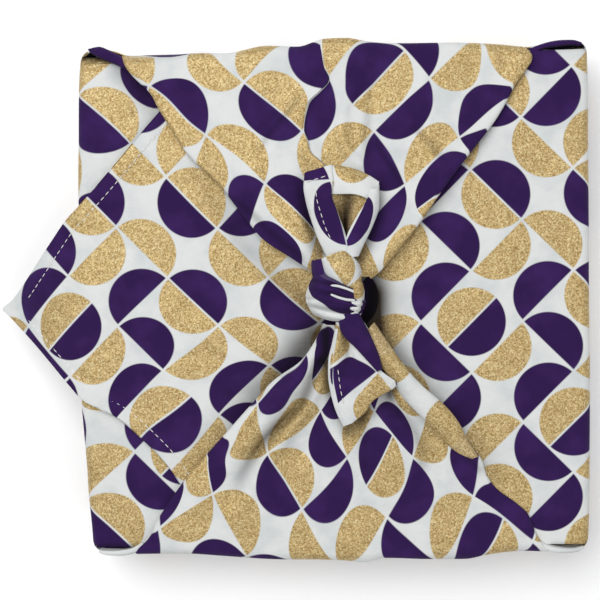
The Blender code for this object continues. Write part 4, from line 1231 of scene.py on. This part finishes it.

# %% [markdown]
# The colours come next. Glitter paste is a scatter of grains that catch the light one by one; here each grain
# is painted its own gold from a random value, between a painted shade and a painted highlight, and the
# brightest grains take a painted glint. The real grains are about 0.2 mm; they are drawn coarser here so that
# they show. The threads are 0.45 mm apart. Their bump is kept faint, since cotton looks smooth from a
# distance.

# %% Printed cotton: colours and surface
WHITE, WHITE_PAINTED_SHADE = colour("#d0d2d0"), colour("#bcc1c2")
PURPLE_INK, PURPLE_WORN = colour("#2a1344"), colour("#361d54")
GOLD_SHADE, GOLD_LIT, GOLD_GLINT = colour("#8e7241"), colour("#c9b17e"), colour("#ddd0a4")
DEEP_SHADE, SHADE_GAIN = colour("#3a3029"), 1.15
GRAIN, THREAD, CRUMPLE, CLOUD = 0.5, 0.45, 11.0, 14.0

in_space = add(tree, "TexCoord", output="Object")
grain = add(tree, "TexVoronoi", in_space, 1 / (GRAIN * MM), output="Color")
grain = add(tree, "SeparateColor", grain).node
# Painted light: each grain is coloured between shaded and lit gold, and the brightest get a painted glint.
gold = add(tree, "Mix", grain.outputs["Red"], GOLD_SHADE, GOLD_LIT, data_type="RGBA")
glint = add(tree, "MapRange", grain.outputs["Green"], 0.82, 0.95, 0.0, 0.7)
gold = add(tree, "Mix", glint, gold, GOLD_GLINT, data_type="RGBA")
cloudy = add(tree, "TexNoise", in_space, 1 / (CLOUD * MM), 3.0)
worn = add(tree, "MapRange", cloudy, 0.42, 0.66, 0.0, 0.8)
purple = add(tree, "Mix", worn, PURPLE_INK, PURPLE_WORN, data_type="RGBA")
inks = add(tree, "Mix", is_purple, gold, purple, data_type="RGBA")
# Painted shade: the white ground is darkened to a cool grey in soft cloudy patches, standing in for the shade
# of shallow wrinkles.
painted_mottle = add(tree, "MapRange", cloudy, 0.44, 0.68, 0.0, 0.7)
ground = add(tree, "Mix", painted_mottle, WHITE, WHITE_PAINTED_SHADE, data_type="RGBA")
printed = add(tree, "Mix", ink, ground, inks, data_type="RGBA")
# Painted shade: the print is multiplied towards DEEP_SHADE by the shade attribute, darkest in deep folds and
# beside the knot.
shade = add(tree, "Attribute", attribute_name="shade", output="Fac")
shade = add(tree, "Math", shade, SHADE_GAIN, operation="MULTIPLY", use_clamp=True)
printed = add(tree, "Mix", shade, printed, DEEP_SHADE, data_type="RGBA", blend_type="MULTIPLY")
tree.links.new(printed, surface.inputs["Base Color"])
metal = add(tree, "Math", gold_ink, 0.25, operation="MULTIPLY")
tree.links.new(metal, surface.inputs["Metallic"])
rough = add(tree, "MapRange", gold_ink, 0.0, 1.0, 0.9, 0.5)
tree.links.new(rough, surface.inputs["Roughness"])
surface.inputs["Sheen Weight"].default_value = 0.04
surface.inputs["Sheen Roughness"].default_value = 0.5
surface.inputs["Specular IOR Level"].default_value = 0.15

waves = add(tree, "VectorMath", flat_place, (2 * math.pi * CELL / THREAD,) * 3, operation="MULTIPLY")
waves = add(tree, "SeparateXYZ", waves).node
warp = add(tree, "Math", waves.outputs["X"], operation="SINE")
weft = add(tree, "Math", waves.outputs["Y"], operation="SINE")
weave = add(tree, "Math", warp, weft, operation="MULTIPLY")
crumpled = add(tree, "TexNoise", in_space, 1 / (CRUMPLE * MM), 4.0)
crumple_bump = add(tree, "Bump", 1.0, 1.5 * MM, None, crumpled)
weave_bump = add(tree, "Bump", 0.15, 0.05 * MM, None, weave, crumple_bump)
tree.links.new(weave_bump, surface.inputs["Normal"])
cloth.data.materials.append(cotton)

# %% [markdown]
# ## Sewing thread
# White polyester thread has a soft gloss and shows its twist as fine diagonal bands.

# %% Sewing thread
TWIST = 0.5                              # drawn a little coarser than real
thread, tree, surface = new_material("sewing_thread")
in_space = add(tree, "TexCoord", output="Object")
twist = add(tree, "TexWave", in_space, 1 / (TWIST * MM), 1.0, bands_direction="DIAGONAL", output="Fac")
sewn = add(tree, "Mix", twist, colour("#d2d1cc"), colour("#f2f1ee"), data_type="RGBA")
tree.links.new(sewn, surface.inputs["Base Color"])
surface.inputs["Roughness"].default_value = 0.55
surface.inputs["Sheen Weight"].default_value = 0.1
stitches.data.materials.append(thread)

# %% [markdown]
# ## The gift box
# The box inside is grey-brown kraft board, pressed from long fibres. It is matt and a little streaked. Only
# slivers of it show, at one corner.

# %% Kraft board
FIBRE = 2.5
kraft, tree, surface = new_material("kraft_board")
in_space = add(tree, "TexCoord", output="Object")
long_fibres = add(tree, "Mapping", in_space, None, None, (1.0, 6.0, 1.0))
fibres = add(tree, "TexNoise", long_fibres, 1 / (FIBRE * MM), 5.0)
board = add(tree, "Mix", fibres, colour("#8a6b48"), colour("#b8946a"), data_type="RGBA")
tree.links.new(board, surface.inputs["Base Color"])
surface.inputs["Roughness"].default_value = 0.85
for material_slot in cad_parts["gift_box"].material_slots:
    material_slot.material = kraft

# %% [markdown]
# ## Floor, light and camera
# The parcel stands on a plain white sweep. The light is soft and comes mostly from above, with a large lamp a
# little behind the far edge, so that every fold has a lit side and a shaded one. The camera looks almost
# straight down.

# %% Floor
PAPER_TOOTH = 40.0
bpy.ops.mesh.primitive_plane_add(size=6.0, location=(0, 0, 0))
floor = bpy.context.object
floor.name = "floor"
paper, tree, surface = new_material("white_paper_sweep")
in_space = add(tree, "TexCoord", output="Object")
tooth = add(tree, "TexNoise", in_space, 1 / (PAPER_TOOTH * MM), 2.0)
sheet_white = add(tree, "Mix", tooth, colour("#fdfdfd"), colour("#ffffff"), data_type="RGBA")
tree.links.new(sheet_white, surface.inputs["Base Color"])
surface.inputs["Roughness"].default_value = 0.8
surface.inputs["Specular IOR Level"].default_value = 0.0
floor.data.materials.append(paper)

# %% Light
WORLD_STRENGTH = 0.38
LAMPS = (
    # name, place, size, power, all in metres and watts
    ("key", (-0.40, 0.46, 1.18), 1.05, 14.4),
    ("fill", (0.7, -0.5, 1.1), 1.4, 5.8),
)
for name, place, size, power in LAMPS:
    lamp = bpy.data.lights.new(name, "AREA")
    lamp.size = size
    lamp.energy = power
    holder = bpy.data.objects.new(name, lamp)
    holder.location = place
    holder.rotation_euler = (-Vector(place)).to_track_quat("-Z", "Y").to_euler()
    bpy.context.scene.collection.objects.link(holder)
world = bpy.data.worlds.new("studio")
bpy.context.scene.world = world
world.use_nodes = True
world.node_tree.nodes["Background"].inputs["Color"].default_value = colour("#fbfcff")
world.node_tree.nodes["Background"].inputs["Strength"].default_value = WORLD_STRENGTH
bpy.context.scene.view_settings.view_transform = "Standard"

# %% Camera
CAMERA_PLACE = (0.0013, 0.0248, 0.6595)  # in metres, nearly over the middle of the parcel
CAMERA_TURN = (-2.29, 1.62, -0.77)       # in degrees: tipped and turned a little off straight down
CAMERA_LENS, CAMERA_SENSOR = 83.44, 36.0
lens = bpy.data.cameras.new("camera")
lens.lens = CAMERA_LENS
lens.sensor_width = CAMERA_SENSOR
camera = bpy.data.objects.new("camera", lens)
camera.location = CAMERA_PLACE
camera.rotation_euler = [math.radians(turn) for turn in CAMERA_TURN]
bpy.context.scene.collection.objects.link(camera)
bpy.context.scene.camera = camera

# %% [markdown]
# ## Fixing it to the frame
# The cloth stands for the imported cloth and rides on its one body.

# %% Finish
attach(cloth, "root")
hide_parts("furoshiki")
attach(stitches, "root")
